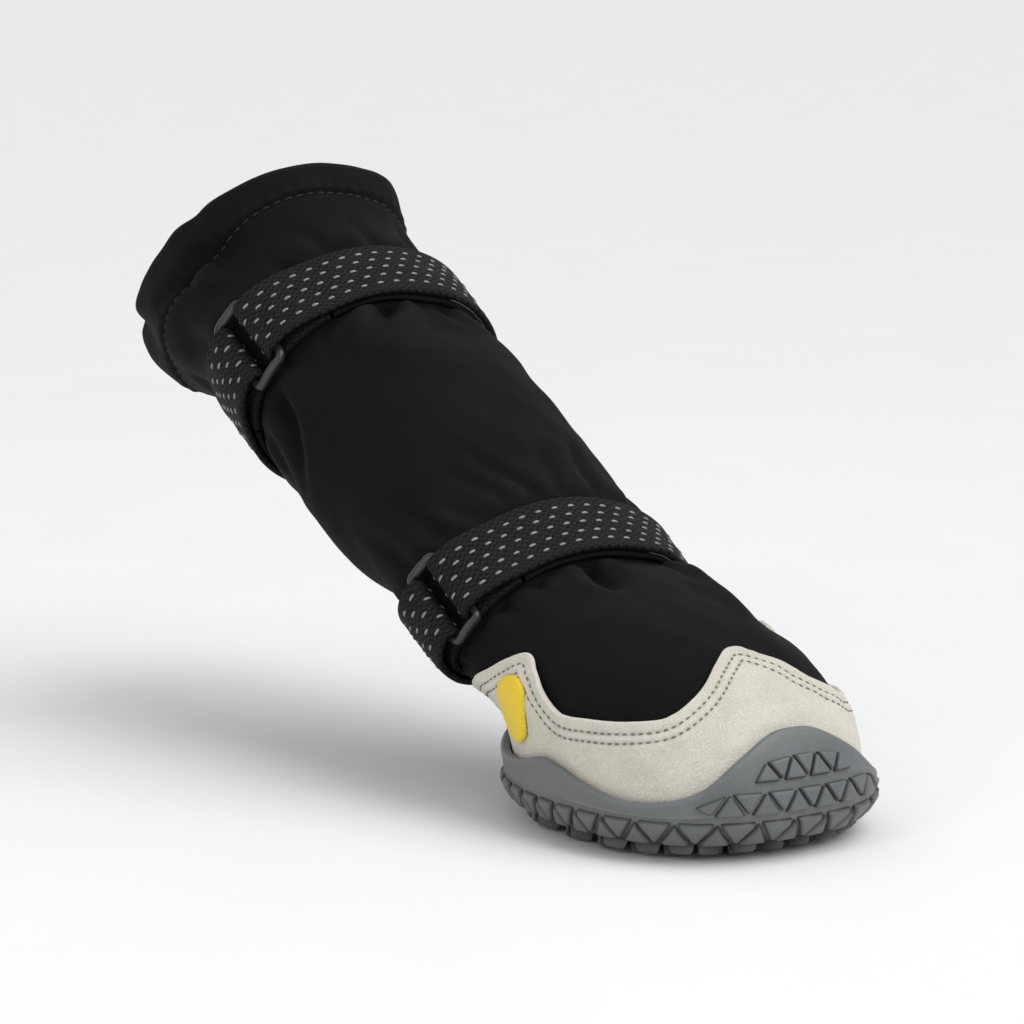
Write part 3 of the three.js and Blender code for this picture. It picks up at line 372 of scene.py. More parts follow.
def make_piece(name, points, faces, material, chart=None, kinds=None, sharp=None):
    """An object from points in mm. chart gives each point two values: its own place along and across, or for
    the outsole how deep it lies in a groove, for painted shade.
    """
    mesh = bpy.data.meshes.new(name)
    mesh.from_pydata((np.asarray(points).reshape(-1, 3) * MM).tolist(), [], faces)
    for one in material if isinstance(material, (list, tuple)) else [material]:
        mesh.materials.append(one)
    mesh.polygons.foreach_set("use_smooth", np.ones(len(mesh.polygons), bool))
    if kinds is not None:
        mesh.polygons.foreach_set("material_index", np.asarray(kinds, np.int32))
    if chart is not None:
        layer = mesh.attributes.new("chart", "FLOAT_VECTOR", "POINT")
        flat = np.zeros((len(mesh.vertices), 3), np.float32)
        flat[:, :2] = np.asarray(chart).reshape(-1, 2)
        layer.data.foreach_set("vector", flat.ravel())
    mesh.update()
    if volume(mesh) < 0:
        mesh.flip_normals()
    if sharp is not None:
        mesh.set_sharp_from_angle(angle=math.radians(sharp))
    piece = bpy.data.objects.new(name, mesh)
    bpy.context.scene.collection.objects.link(piece)
    return piece


def volume(mesh):
    mesh.calc_loop_triangles()
    corners = np.empty(len(mesh.loop_triangles) * 3, np.int32)
    mesh.loop_triangles.foreach_get("vertices", corners)
    places = np.empty(len(mesh.vertices) * 3)
    mesh.vertices.foreach_get("co", places)
    a, b, c = places.reshape(-1, 3)[corners].reshape(-1, 3, 3).transpose(1, 0, 2)
    return float((np.cross(a, b) * c).sum())


def settle(piece, slot, *nodes):
    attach(piece, "root")
    if nodes:
        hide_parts(*nodes)
    return piece


# Materials

class Nodes:
    """Adds nodes to a tree. An input is given as a value or as the socket that feeds it."""

    def __init__(self, tree):
        self.tree = tree

    def add(self, kind, inputs=None, **settings):
        node = self.tree.nodes.new(kind)
        for key, value in settings.items():
            setattr(node, key, value)
        for key, value in (inputs or {}).items():
            socket = node.inputs[key]
            if isinstance(value, bpy.types.NodeSocket):
                self.tree.links.new(value, socket)
            else:
                socket.default_value = value
        return node

    def math(self, operation, *values):
        node = self.add("ShaderNodeMath", dict(enumerate(values)), operation=operation)
        return node.outputs[0]

    def mixed(self, first, second, share):
        """Two masks added with weights 1 - share and share."""
        return self.math("ADD", self.math("MULTIPLY", first, 1 - share), self.math("MULTIPLY", second, share))

    def blend(self, share, first, second):
        node = self.add("ShaderNodeMix", {0: share, 6: first, 7: second}, data_type="RGBA")
        return node.outputs[2]

    def ranged(self, value, low, high, to_low=0.0, to_high=1.0):
        inputs = {"Value": value, "From Min": low, "From Max": high, "To Min": to_low, "To Max": to_high}
        return self.add("ShaderNodeMapRange", inputs).outputs[0]


def shared(name, inputs, outputs):
    group = bpy.data.node_groups.new(name, "ShaderNodeTree")
    for label, kind, value in inputs:
        socket = group.interface.new_socket(label, in_out="INPUT", socket_type=kind)
        if value is not None:
            socket.default_value = value
    for label, kind in outputs:
        group.interface.new_socket(label, in_out="OUTPUT", socket_type=kind)
    nodes = Nodes(group)
    return group, nodes, nodes.add("NodeGroupInput").outputs, nodes.add("NodeGroupOutput")


def grain_group():
    """Noise in mm on the object: a coarse and a fine mask."""
    group, nodes, given, out = shared(
        "grain",
        [("Coarse", "NodeSocketFloat", 10.0), ("Fine", "NodeSocketFloat", 1.0)],
        [("Coarse Mask", "NodeSocketFloat"), ("Fine Mask", "NodeSocketFloat")],
    )
    place = nodes.add("ShaderNodeTexCoord").outputs["Object"]
    place = nodes.add("ShaderNodeVectorMath", {0: place, 3: 1 / MM}, operation="SCALE").outputs[0]
    for label, detail in (("Coarse", 4.0), ("Fine", 7.0)):
        scale = nodes.math("DIVIDE", 1.0, given[label])
        noise = nodes.add("ShaderNodeTexNoise", {"Vector": place, "Scale": scale, "Detail": detail})
        mask = nodes.ranged(noise.outputs[0], 0.3, 0.7)
        group.links.new(mask, out.inputs[f"{label} Mask"])
    return group


def wear_and_shade_group():
    """Ridges and hollows of the mesh: Edge is 1 on raised edges; the groove mask, 1 in grooves, places
    painted shade.
    """
    group, nodes, given, out = shared(
        "wear_and_shade",
        [("Reach", "NodeSocketFloat", 0.08)],
        [("Edge", "NodeSocketFloat"), ("Shade", "NodeSocketFloat")],
    )
    point = nodes.add("ShaderNodeNewGeometry").outputs["Pointiness"]
    high = nodes.math("ADD", 0.5, given["Reach"])
    low = nodes.math("SUBTRACT", 0.5, given["Reach"])
    group.links.new(nodes.ranged(point, 0.505, high), out.inputs["Edge"])
    group.links.new(nodes.ranged(point, 0.495, low), out.inputs["Shade"])
    return group


def weave_group():
    """A woven height over the piece's own chart: threads along and across in turn."""
    group, nodes, given, out = shared(
        "weave",
        [("Along", "NodeSocketFloat", 1.2), ("Across", "NodeSocketFloat", 1.0)],
        [("Height", "NodeSocketFloat"), ("Place", "NodeSocketVector")],
    )
    chart = nodes.add("ShaderNodeAttribute", attribute_name="chart").outputs["Vector"]
    parts = nodes.add("ShaderNodeSeparateXYZ", {0: chart}).outputs
    u = nodes.math("MULTIPLY", nodes.math("DIVIDE", parts[0], given["Along"]), math.pi)
    v = nodes.math("MULTIPLY", nodes.math("DIVIDE", parts[1], given["Across"]), math.pi)
    cross = nodes.math("MULTIPLY", nodes.math("SINE", u), nodes.math("SINE", v))
    fine = nodes.math("MULTIPLY", nodes.math("SINE", nodes.math("MULTIPLY", v, 3.0)), 0.25)
    slant = nodes.math("ADD", nodes.math("MULTIPLY", u, 2.0), v)
    twill = nodes.math("MULTIPLY", nodes.math("SINE", slant), 0.3)
    height = nodes.math("ADD", nodes.math("ADD", cross, fine), twill)
    group.links.new(nodes.ranged(height, -1.3, 1.3), out.inputs["Height"])
    group.links.new(chart, out.inputs["Place"])
    return group


GRAIN, WEAR_AND_SHADE, WEAVE = grain_group(), wear_and_shade_group(), weave_group()


def finish_material(name, paint, roughness, **fixed):
    """A material from a paint function that gives colour, height, bump distance in mm and strength."""
    material = bpy.data.materials.new(name)
    material.use_nodes = True
    material.node_tree.nodes.clear()
    nodes = Nodes(material.node_tree)
    colour, height, distance, strength, rough = paint(nodes, roughness)
    bump = nodes.add("ShaderNodeBump", {"Strength": strength, "Distance": distance * MM, "Height": height})
    inputs = {"Base Color": colour, "Roughness": rough, "Normal": bump.outputs[0], **fixed}
    surface = nodes.add("ShaderNodeBsdfPrincipled", inputs)
    nodes.add("ShaderNodeOutputMaterial", {0: surface.outputs[0]})
    material.diffuse_color = (*tuple(colour)[:3], 1) if isinstance(colour, tuple) else (0.5, 0.5, 0.5, 1)
    return material


def use(nodes, group, inputs=None):
    node = nodes.add("ShaderNodeGroup", node_tree=group)
    for key, value in (inputs or {}).items():
        node.inputs[key].default_value = value
    return node.outputs


def grained(dark, light, coarse, fine, distance, strength, edge=None, groove_shade=None, reach=0.08, mixed=0.5):
    """Paint for cloth, suede, rubber and plastic: two tones, worn edges and painted shade in the grooves."""
    def paint(nodes, roughness):
        grain = use(nodes, GRAIN, {"Coarse": coarse, "Fine": fine})
        colour = nodes.blend(nodes.mixed(grain[0], grain[1], mixed), (*dark, 1), (*light, 1))
        wear_and_shade = use(nodes, WEAR_AND_SHADE, {"Reach": reach})
        if edge:
            colour = nodes.blend(nodes.math("MULTIPLY", wear_and_shade[0], 0.6), colour, (*edge, 1))
        # painted shade: the groove colour darkens the mesh's grooves and creases
        if groove_shade:
            colour = nodes.blend(nodes.math("MULTIPLY", wear_and_shade[1], 0.7), colour, (*groove_shade, 1))
        rough = nodes.ranged(grain[0], 0.0, 1.0, roughness - 0.06, roughness + 0.06)
        return colour, grain[1], distance, strength, rough
    return paint


def groove_shaded(paint_below, groove):
    """The paint given, with painted shade where the piece's chart says that a point lies deep in a groove."""
    def paint(nodes, roughness):
        colour, height, distance, strength, rough = paint_below(nodes, roughness)
        chart = nodes.add("ShaderNodeAttribute", attribute_name="chart").outputs["Vector"]
        depth = nodes.add("ShaderNodeSeparateXYZ", {0: chart}).outputs[0]
        share = nodes.ranged(depth, 0.1, 1.0, 0.0, 0.85)
        return nodes.blend(share, colour, (*groove, 1)), height, distance, strength, rough
    return paint


def woven(dark, light, along, across, distance, strength, mixed=0.35):
    """Paint for straps and thread: painted highlight on the weave's raised threads, painted shade between
    them.
    """
    def paint(nodes, roughness):
        weave = use(nodes, WEAVE, {"Along": along, "Across": across})
        grain = use(nodes, GRAIN, {"Coarse": 6.0, "Fine": 0.25})
        raised = nodes.ranged(weave[0], 0.25, 0.95)
        # painted highlight on raised threads and painted shade in the gaps, mixed with random tone
        colour = nodes.blend(nodes.mixed(raised, grain[1], mixed), (*dark, 1), (*light, 1))
        height = nodes.math("ADD", weave[0], nodes.math("MULTIPLY", grain[1], 0.3))
        rough = nodes.ranged(grain[0], 0.0, 1.0, roughness - 0.08, roughness + 0.05)
        return colour, height, distance, strength, rough
    return paint


CLOTH = {"Sheen Weight": 0.012, "Sheen Roughness": 0.5, "Specular IOR Level": 0.09}
# The groove colours of softshell, suede, sole rubber and badge below are painted shade.
SOFTSHELL = finish_material(
    "softshell", grained((0.0036, 0.0032, 0.0034), (0.0068, 0.0062, 0.0066), 18.0, 0.35, 0.09, 0.35,
                         edge=(0.013, 0.0122, 0.0128), groove_shade=(0.003, 0.003, 0.003), reach=0.05),
    0.8, **CLOTH)
LINING = finish_material(
    "lining", grained((0.005, 0.005, 0.0055), (0.012, 0.012, 0.013), 7.0, 0.6, 0.3, 0.6), 0.95, **CLOTH)
SUEDE = finish_material(
    "suede", grained((0.53, 0.492, 0.42), (0.74, 0.70, 0.612), 7.0, 0.36, 0.2, 0.7,
                     edge=(0.76, 0.72, 0.64), groove_shade=(0.36, 0.33, 0.28), reach=0.05, mixed=0.7), 0.92,
    **{"Sheen Weight": 0.18, "Sheen Roughness": 0.5, "Specular IOR Level": 0.12})
# sole rubber: its last colour, laid on by groove depth, is painted shade in the tread.
RUBBER = finish_material(
    "sole_rubber", groove_shaded(grained((0.108, 0.115, 0.118), (0.148, 0.157, 0.161), 9.0, 0.5, 0.05, 0.3,
                                   edge=(0.23, 0.242, 0.248), groove_shade=(0.05, 0.054, 0.057), reach=0.1),
                           (0.02, 0.022, 0.024)), 0.48,
    **{"Specular IOR Level": 0.5})
BADGE = finish_material(
    "badge_rubber", grained((0.52, 0.29, 0.012), (0.64, 0.37, 0.018), 4.0, 0.3, 0.03, 0.25,
                            edge=(0.72, 0.45, 0.05), groove_shade=(0.3, 0.16, 0.01)), 0.38,
    **{"Specular IOR Level": 0.5})
INSOLE = finish_material(
    "insole_foam", grained((0.008, 0.008, 0.0085), (0.024, 0.024, 0.025), 3.0, 0.3, 0.3, 0.7), 0.95, **CLOTH)
STRAP = finish_material(
    "webbing", woven((0.0015, 0.0015, 0.0018), (0.026, 0.025, 0.026), 1.1, 0.7, 0.3, 1.0), 0.75,
    **{"Specular IOR Level": 0.12, "Sheen Weight": 0.01})
STRETCH = finish_material(
    "elastic", woven((0.003, 0.003, 0.0035), (0.013, 0.013, 0.0135), 0.5, 0.4, 0.12, 0.7), 0.85, **CLOTH)
DASH = finish_material(
    "reflective_thread", woven((0.12, 0.12, 0.123), (0.38, 0.38, 0.385), 3.0, 0.2, 0.04, 0.5), 0.45,
    **{"Metallic": 0.25})
THREAD = finish_material(
    "stitch_thread", grained((0.12, 0.113, 0.10), (0.24, 0.228, 0.208), 6.0, 0.2, 0.05, 0.4), 0.8)
BLACK_THREAD = finish_material(
    "hem_thread", grained((0.004, 0.004, 0.004), (0.018, 0.018, 0.018), 6.0, 0.2, 0.05, 0.4), 0.75)
SATIN = finish_material(
    "embroidery", woven((0.78, 0.50, 0.008), (0.95, 0.72, 0.03), 0.42, 30.0, 0.16, 0.9, mixed=0.25), 0.5,
    **{"Specular IOR Level": 0.5, "Sheen Weight": 0.1})
PLASTIC = finish_material(
    "ring_plastic", grained((0.009, 0.009, 0.01), (0.02, 0.02, 0.021), 3.0, 0.25, 0.02, 0.2,
                            edge=(0.05, 0.05, 0.052)), 0.3, **{"Specular IOR Level": 0.55})
HOOK = finish_material(
    "hook_tape", woven((0.14, 0.14, 0.14), (0.42, 0.42, 0.41), 0.8, 0.8, 0.25, 0.9), 0.7)
PAPER = finish_material(
    "floor", grained((0.87, 0.87, 0.87), (0.89, 0.89, 0.89), 60.0, 3.0, 0.02, 0.05), 0.8)


# Repeated small pieces

def repeat_tree():
    """Geometry nodes that put a shape on each point, turned by the point's along and up."""
    tree = bpy.data.node_groups.new("repeat", "GeometryNodeTree")
    face = tree.interface
    face.new_socket("Geometry", in_out="INPUT", socket_type="NodeSocketGeometry")
    shape = face.new_socket("Shape", in_out="INPUT", socket_type="NodeSocketObject")
    finish = face.new_socket("Finish", in_out="INPUT", socket_type="NodeSocketMaterial")
    spread = face.new_socket("Spread", in_out="INPUT", socket_type="NodeSocketFloat")
    seed = face.new_socket("Seed", in_out="INPUT", socket_type="NodeSocketInt")
    face.new_socket("Geometry", in_out="OUTPUT", socket_type="NodeSocketGeometry")
    nodes = Nodes(tree)
    given = nodes.add("NodeGroupInput").outputs
    info = nodes.add("GeometryNodeObjectInfo", {"Object": given["Shape"]})
    along, up = [
        nodes.add("GeometryNodeInputNamedAttribute", {"Name": label}, data_type="FLOAT_VECTOR").outputs[0]
        for label in ("along", "up")
    ]
    first = nodes.add("FunctionNodeAlignRotationToVector", {"Vector": along}, axis="X")
    second = nodes.add("FunctionNodeAlignRotationToVector", {"Rotation": first.outputs[0], "Vector": up},
                       axis="Z", pivot_axis="X")
    least = nodes.add("ShaderNodeMath", {0: 1.0, 1: given["Spread"]}, operation="SUBTRACT").outputs[0]
    most = nodes.add("ShaderNodeMath", {0: 1.0, 1: given["Spread"]}, operation="ADD").outputs[0]
    size = nodes.add("FunctionNodeRandomValue", {2: least, 3: most, "Seed": given["Seed"]}, data_type="FLOAT")
    copies = nodes.add("GeometryNodeInstanceOnPoints", {
        "Points": given["Geometry"], "Instance": info.outputs["Geometry"],
        "Rotation": second.outputs[0], "Scale": size.outputs[1],
    })
    real = nodes.add("GeometryNodeRealizeInstances", {0: copies.outputs[0]})
    painted = nodes.add("GeometryNodeSetMaterial", {"Geometry": real.outputs[0], "Material": given["Finish"]})
    nodes.add("NodeGroupOutput", {0: painted.outputs[0]})
    return tree, [shape.identifier, finish.identifier, spread.identifier, seed.identifier]


REPEAT, REPEAT_INPUTS = repeat_tree()
SIZE_SPREAD = 0.06


def evaluated(piece):
    graph = bpy.context.evaluated_depsgraph_get()
    return bpy.data.meshes.new_from_object(piece.evaluated_get(graph), depsgraph=graph)


def repeated(name, places, along, up, shape, material, seed=3):
    """One object of many copies of shape, which it uses up."""
    mesh = bpy.data.meshes.new(f"{name}_places")
    mesh.from_pydata((places * MM).tolist(), [], [])
    for label, values in (("along", along), ("up", up)):
        layer = mesh.attributes.new(label, "FLOAT_VECTOR", "POINT")
        layer.data.foreach_set("vector", np.asarray(values, np.float32).ravel())
    base = bpy.data.objects.new(f"{name}_base", mesh)
    bpy.context.scene.collection.objects.link(base)
    modifier = base.modifiers.new("repeat", "NODES")
    modifier.node_group = REPEAT
    for identifier, value in zip(REPEAT_INPUTS, (shape, material, SIZE_SPREAD, seed)):
        modifier[identifier] = value
    whole = evaluated(base)
    piece = bpy.data.objects.new(name, whole)
    bpy.context.scene.collection.objects.link(piece)
    whole.polygons.foreach_set("use_smooth", np.ones(len(whole.polygons), bool))
    bpy.data.objects.remove(base)
    bpy.data.objects.remove(shape)
    return piece


def pill_shape(name, length, width, height, material, sides=8, stations=7):
    """A thread that dips at both ends: rings along X, round in Y and Z, in mm."""
    rows = []
    for share in np.linspace(-1, 1, stations):
        size = math.sqrt(max(1 - abs(share) ** 3, 0.02))
        swing = np.arange(sides) / sides * 2 * math.pi
        rows.append(np.stack([
            np.full(sides, share * length / 2),
            np.cos(swing) * width / 2 * size,
            np.sin(swing) * height * size - height * 0.9 * share ** 2,
        ], -1))
    faces = grid_faces(stations, sides)
    faces += [list(range(sides)), list(range((stations - 1) * sides, stations * sides))[::-1]]
    return make_piece(name, np.array(rows), faces, material)


def along_curve(points, pitch):
    """Places every pitch mm along a curve of points, as indices with fractions."""
    reach = np.r_[0, np.cumsum(np.linalg.norm(np.diff(points, axis=0), axis=1))]
    return np.interp(np.arange(pitch / 2, reach[-1], pitch), reach, np.arange(len(points)))


def sampled(values, at):
    grid = np.arange(len(values))
    return np.stack([np.interp(at, grid, values[:, axis]) for axis in range(values.shape[1])], -1)


# Upper

COLUMNS = 240
FINE_ROWS = 2101
ROW_STEPS = (1.6, 0.66, 0.56)  # mm between rows: low on the foot, on the leg and at the collar
CUFF_ROLL = (UPPER_WALL + HEM_WALL) / 2
# Creases: height of the valley, height and breadth of the shoulders beside it
CREASE_VALLEY, CREASE_SHOULDER, SHOULDER_BREADTH = 1.25, 0.45, 2.3
# Swollen cloth beside a strap, in mm: height, way from the strap's edge, breadth, start
PILLOW = (0.9, 5.5, 4.5, 3.0)
# Gathers at a strap's edge, in mm: height, way from the edge, breadth
GATHER = (0.42, 1.6, 2.6)
GATHERS_ROUND, PUCKERS_ROUND = 17, 56
STRAP_PRESS = 0.15
HEM_GROOVE, HEM_GROOVE_BREADTH = 0.42, 0.75
PUCKER_HEIGHT, PUCKER_BREADTH = 0.13, 1.6
HEM_STITCH, HEM_STITCH_PITCH = (2.0, 0.42, 0.26), 2.7


def upper_rows():
    """Rows of the upper's outer face, closer where the cloth is seen."""
    fine = np.linspace(0, TOP_ROW, FINE_ROWS)
    around = np.radians([0, 90, 180, -90])
    points = smooth_skin(fine[:, None], around[None, :])
    steps = np.linalg.norm(np.diff(points, axis=0), axis=-1).mean(1)
    foot, leg, collar = ROW_STEPS
    steps = steps / np.where(fine[1:] < 2.5, foot, np.where(fine[1:] > 18, collar, leg))
    reach = np.r_[0, np.cumsum(steps)]
    return np.interp(np.linspace(0, reach[-1], int(reach[-1]) + 1), reach, fine)


def strap_ways(points, rows, turns):
    """How far in mm each point lies from the middle of the lower and of the upper strap."""
    lengths = np.linalg.norm(np.diff(points, axis=0), axis=-1)
    reach = np.vstack([np.zeros(len(turns)), np.cumsum(lengths, axis=0)])
    ways = []
    for row in (LOWER_ROW, UPPER_ROW):
        middle = np.array([np.interp(row, rows, reach[:, column]) for column in range(len(turns))])
        ways.append(reach - middle)
    return ways


def crease_lift(points):
    """Height of the creases at each point of the bare skin."""
    lift = np.zeros(points.shape[:-1])
    for places, width, depth in CREASES:
        places = np.array(places, float)
        share = np.linspace(0, len(places) - 1, 12 * (len(places) - 1))
        rows = np.interp(share, np.arange(len(places)), places[:, 0])
        turns = np.radians(np.interp(share, np.arange(len(places)), places[:, 1]))
        line = smooth_skin(rows, turns)
        reach = share / share[-1]
        strength = (1 - reach ** 2) * swell(reach * 6 + 0.35)
        valley = np.zeros(lift.shape)
        shoulder = np.zeros(lift.shape)
        for place, power in zip(line, strength):
            far = ((points - place) ** 2).sum(-1)
            valley = np.maximum(valley, power * np.exp(-far / width ** 2))
            shoulder = np.maximum(shoulder, power * np.exp(-far / (SHOULDER_BREADTH * width) ** 2))
        lift += depth * (CREASE_VALLEY * valley - CREASE_SHOULDER * shoulder)
    return lift


def upper_lift(points, rows, turns):
    """Height of the worn cloth over the smooth skin: pillows, gathers, creases and soft waves, pressed under
    the straps.
    """
    lower, upper = strap_ways(points, rows, turns)
    near = np.minimum(np.abs(lower), np.abs(upper)) - STRAP_WIDTH / 2
    height, way, breadth, start = PILLOW
    lift = crease_lift(points) + height * bell(near - way, breadth) * swell(near / start)
    lift += 0.32 * waves(points, 11, 26, 14, 34) + 0.10 * waves(points, 12, 30, 5, 11)
    height, way, breadth = GATHER
    gather = np.sin(turns * GATHERS_ROUND + 1.7 * np.sin(turns * 3 + 0.6)) * np.cos(turns * 5 + 0.4)
    lift += height * gather[None, :] * bell(near - way, breadth)
    held = swell((near + 0.6) / 1.8)
    lift = lift * held - STRAP_PRESS * (1 - held)
    return np.where(near < 0.8, np.minimum(lift, 0), lift)


HEM_ROW = TOP_ROW - HEM_DEPTH / float(np.linalg.norm(smooth_skin(TOP_ROW - 1, 0) - smooth_skin(TOP_ROW, 0)))


def make_upper():
    rows = upper_rows()
    turns = (np.arange(COLUMNS) + 0.5) / COLUMNS * 2 * math.pi - math.pi
    grid_row, grid_turn = np.meshgrid(rows, turns, indexing="ij")
    bare = smooth_skin(grid_row, grid_turn)
    direction = outward(grid_row, grid_turn)
    folded = bare + direction * fold_depth(grid_row, grid_turn)[..., None]
    lift = upper_lift(bare, rows, turns)
    hem_index = int(np.searchsorted(rows, HEM_ROW))
    from_hem = np.linalg.norm(bare[hem_index] - bare, axis=-1) * np.sign(grid_row - HEM_ROW)
    pucker = PUCKER_HEIGHT * np.cos(turns * PUCKERS_ROUND) * bell(from_hem - PUCKER_BREADTH, PUCKER_BREADTH)
    groove = HEM_GROOVE * bell(from_hem, HEM_GROOVE_BREADTH)
    hem = HEM_WALL * swell(from_hem / 1.4 + 0.1) - groove + pucker
    lip = 0.35 * HEM_WALL * swell((grid_row - TOP_ROW + 0.14) / 0.14)
    outer = folded + direction * (lift + hem - lip)[..., None]
    # The rolled top edge, then the inside
    top_direction = direction[-1]
    along = unit(outer[-1] - outer[-4])
    middle = outer[-1] - top_direction * CUFF_ROLL
    roll = [middle + CUFF_ROLL * (top_direction * math.cos(angle) + along * math.sin(angle))
            for angle in np.linspace(0.3, math.pi, 9)]
    inner = []
    for row in rows[::-1][4::4]:
        index = int(np.argmin(np.abs(rows - row)))
        deep = UPPER_WALL + 0.35 * swell((row - HEM_ROW + 0.2) / 0.15)
        inner.append(folded[index] + direction[index] * (lift[index] - deep)[:, None])
    allrows = np.concatenate([outer, np.array(roll), np.array(inner)])
    count = len(allrows)
    faces = grid_faces(count, COLUMNS, loop=True)
    kinds = np.zeros(len(faces), np.int32)
    kinds[(len(outer) + len(roll)) * COLUMNS:] = 1
    piece = make_piece("boot_upper", allrows, faces, [SOFTSHELL, LINING], kinds=kinds)
    settle(piece, "softshell", "upper")
    return outer[hem_index], direction[hem_index]


def hem_stitches(line, normal):
    line, normal = np.vstack([line, line[:1]]), np.vstack([normal, normal[:1]])
    at = along_curve(line, HEM_STITCH_PITCH)
    places, up = sampled(line, at), unit(sampled(normal, at))
    along = unit(sampled(line, np.minimum(at + 0.6, len(line) - 1)) - sampled(line, at - 0.4))
    shape = pill_shape("hem_stitch", *HEM_STITCH, BLACK_THREAD)
    piece = repeated("hem_stitches", places + up * 0.1, along, up, shape, BLACK_THREAD)
    settle(piece, "softshell")


hem_stitches(*make_upper())


# Guard

GUARD_COLUMNS, GUARD_LOW_ROWS, GUARD_HIGH_ROWS = 420, 7, 40
NEAR_COLUMNS = 42
# Stitch lines: ways from the guard's top edge, their grooves and the ridge between them, in mm
STITCH_LINES = (1.9, 3.7)
STITCH_GROOVE, STITCH_BREADTH, STITCH_RIDGE, RIDGE_BREADTH = 0.26, 0.42, 0.14, 0.5
EDGE_LIFT, EDGE_BREADTH = 0.15, 1.1
GUARD_STITCH, GUARD_STITCH_PITCH = (1.15, 0.46, 0.26), 1.6


def edge_distance(face):
    """Least distance in mm from each point of the guard's face to its top edge."""
    least = np.full(face.shape[:2], 1e9)
    for step in range(-NEAR_COLUMNS, NEAR_COLUMNS + 1):
        least = np.minimum(least, np.linalg.norm(face - np.roll(face[-1], step, axis=0), axis=-1))
    return least


def make_guard():
    bearings = (np.arange(GUARD_COLUMNS) + 0.5) / GUARD_COLUMNS * 2 * math.pi - math.pi
    rim, edge = rim_height(bearings), guard_height(bearings)
    low = np.linspace(0, 1, GUARD_LOW_ROWS)[:-1]
    high = np.linspace(0, 1, GUARD_HIGH_ROWS)
    heights = np.vstack([UPPER_BOTTOM + (rim - UPPER_BOTTOM) * share for share in low]
                        + [rim + (edge - rim) * share for share in high])
    outer = foot_skin(bearings[None, :], heights, GUARD_OUT)
    inner = foot_skin(bearings[None, :], heights, GUARD_GAP)
    out = unit(outer - inner)
    from_edge = edge_distance(outer)
    relief = 0.16 * waves(outer, 21, 30, 5, 15) + 0.05 * waves(outer, 22, 30, 1.6, 4)
    for distance in STITCH_LINES:
        relief -= STITCH_GROOVE * bell(from_edge - distance, STITCH_BREADTH)
    relief += STITCH_RIDGE * bell(from_edge - sum(STITCH_LINES) / 2, RIDGE_BREADTH)
    relief += EDGE_LIFT * bell(from_edge, EDGE_BREADTH)
    relief *= swell((heights - rim + 0.5) / 3)
    outer = outer + out * relief[..., None]
    middle = (outer[-1] + inner[-1]) / 2
    half = np.linalg.norm(outer[-1] - inner[-1], axis=-1)[:, None] / 2
    rise = unit(outer[-1] - outer[-2])
    roll = [middle + half * (out[-1] * math.cos(angle)) + GUARD_WALL / 2 * rise * math.sin(angle)
            for angle in np.linspace(0.3, math.pi - 0.3, 7)]
    allrows = np.concatenate([outer, np.array(roll), inner[::-1][::2]])
    faces = grid_faces(len(allrows), GUARD_COLUMNS, loop=True)
    settle(make_piece("suede_guard", allrows, faces, SUEDE), "suede", "toe_guard")
    return outer, out, from_edge, heights - rim


def guard_stitches(outer, out, from_edge, over_rim):
    """Two rows of stitches that follow the guard's top edge at one distance from it."""
    places, along, up = [], [], []
    for distance in STITCH_LINES:
        line, normal, clear = [], [], []
        for column in range(GUARD_COLUMNS):
            far = from_edge[:, column]
            index = int(np.nonzero(far > distance)[0].max(initial=0))
            index = min(index, len(far) - 2)
            share = np.clip((far[index] - distance) / max(far[index] - far[index + 1], 1e-6), 0, 1)
            line.append(outer[index, column] * (1 - share) + outer[index + 1, column] * share)
            normal.append(out[index, column])
            clear.append(over_rim[index, column])
        line, normal = np.array(line + line[:1]), np.array(normal + normal[:1])
        ahead = unit(np.gradient(line, axis=0))
        at = along_curve(line, GUARD_STITCH_PITCH)
        at = at[np.interp(at, np.arange(GUARD_COLUMNS), clear) > 0.9]
        places.append(sampled(line, at))
        along.append(unit(sampled(ahead, at)))
        up.append(unit(sampled(normal, at)))
    shape = pill_shape("guard_stitch", *GUARD_STITCH, THREAD)
    places, along, up = np.vstack(places), np.vstack(along), np.vstack(up)
    settle(repeated("guard_stitches", places, along, up, shape, THREAD), "suede")


guard_stitches(*make_guard())


# Outsole

CUP_COLUMNS = 360


def roll_inset(bearing):
    toward = np.cos(bearing)
    return SIDE_ROLL + (np.where(toward > 0, TOE_ROLL, HEEL_ROLL) - SIDE_ROLL) * toward * toward


def cup_profile(bearings):
    """Outer face of the cup from the flat bottom up to the lip, as rows of points."""
    plan = foot_skin(bearings, WIDEST_HEIGHT, CUP_OUT)[:, :2]
    reach = np.linalg.norm(plan, axis=1)
    rows = []
    for sweep in np.linspace(0, math.pi / 2, 13):
        out = reach - roll_inset(bearings) * (1 - math.sin(sweep))
        height = LUG_HEIGHT + (WIDEST_HEIGHT - LUG_HEIGHT) * (1 - math.cos(sweep))
        rows.append(np.column_stack([plan * (out / reach)[:, None], np.full(len(reach), height)]))
    rim = rim_height(bearings) - LIP_ROUND
    for share in np.linspace(0, 1, 12)[1:]:
        rows.append(foot_skin(bearings, WIDEST_HEIGHT + (rim - WIDEST_HEIGHT) * share, CUP_OUT))
    return np.array(rows)


CHART_BEARINGS = np.linspace(-math.pi, math.pi, 361)
CHART_STEP = 0.25
CHART_WAYS = np.arange(0, 66, CHART_STEP)


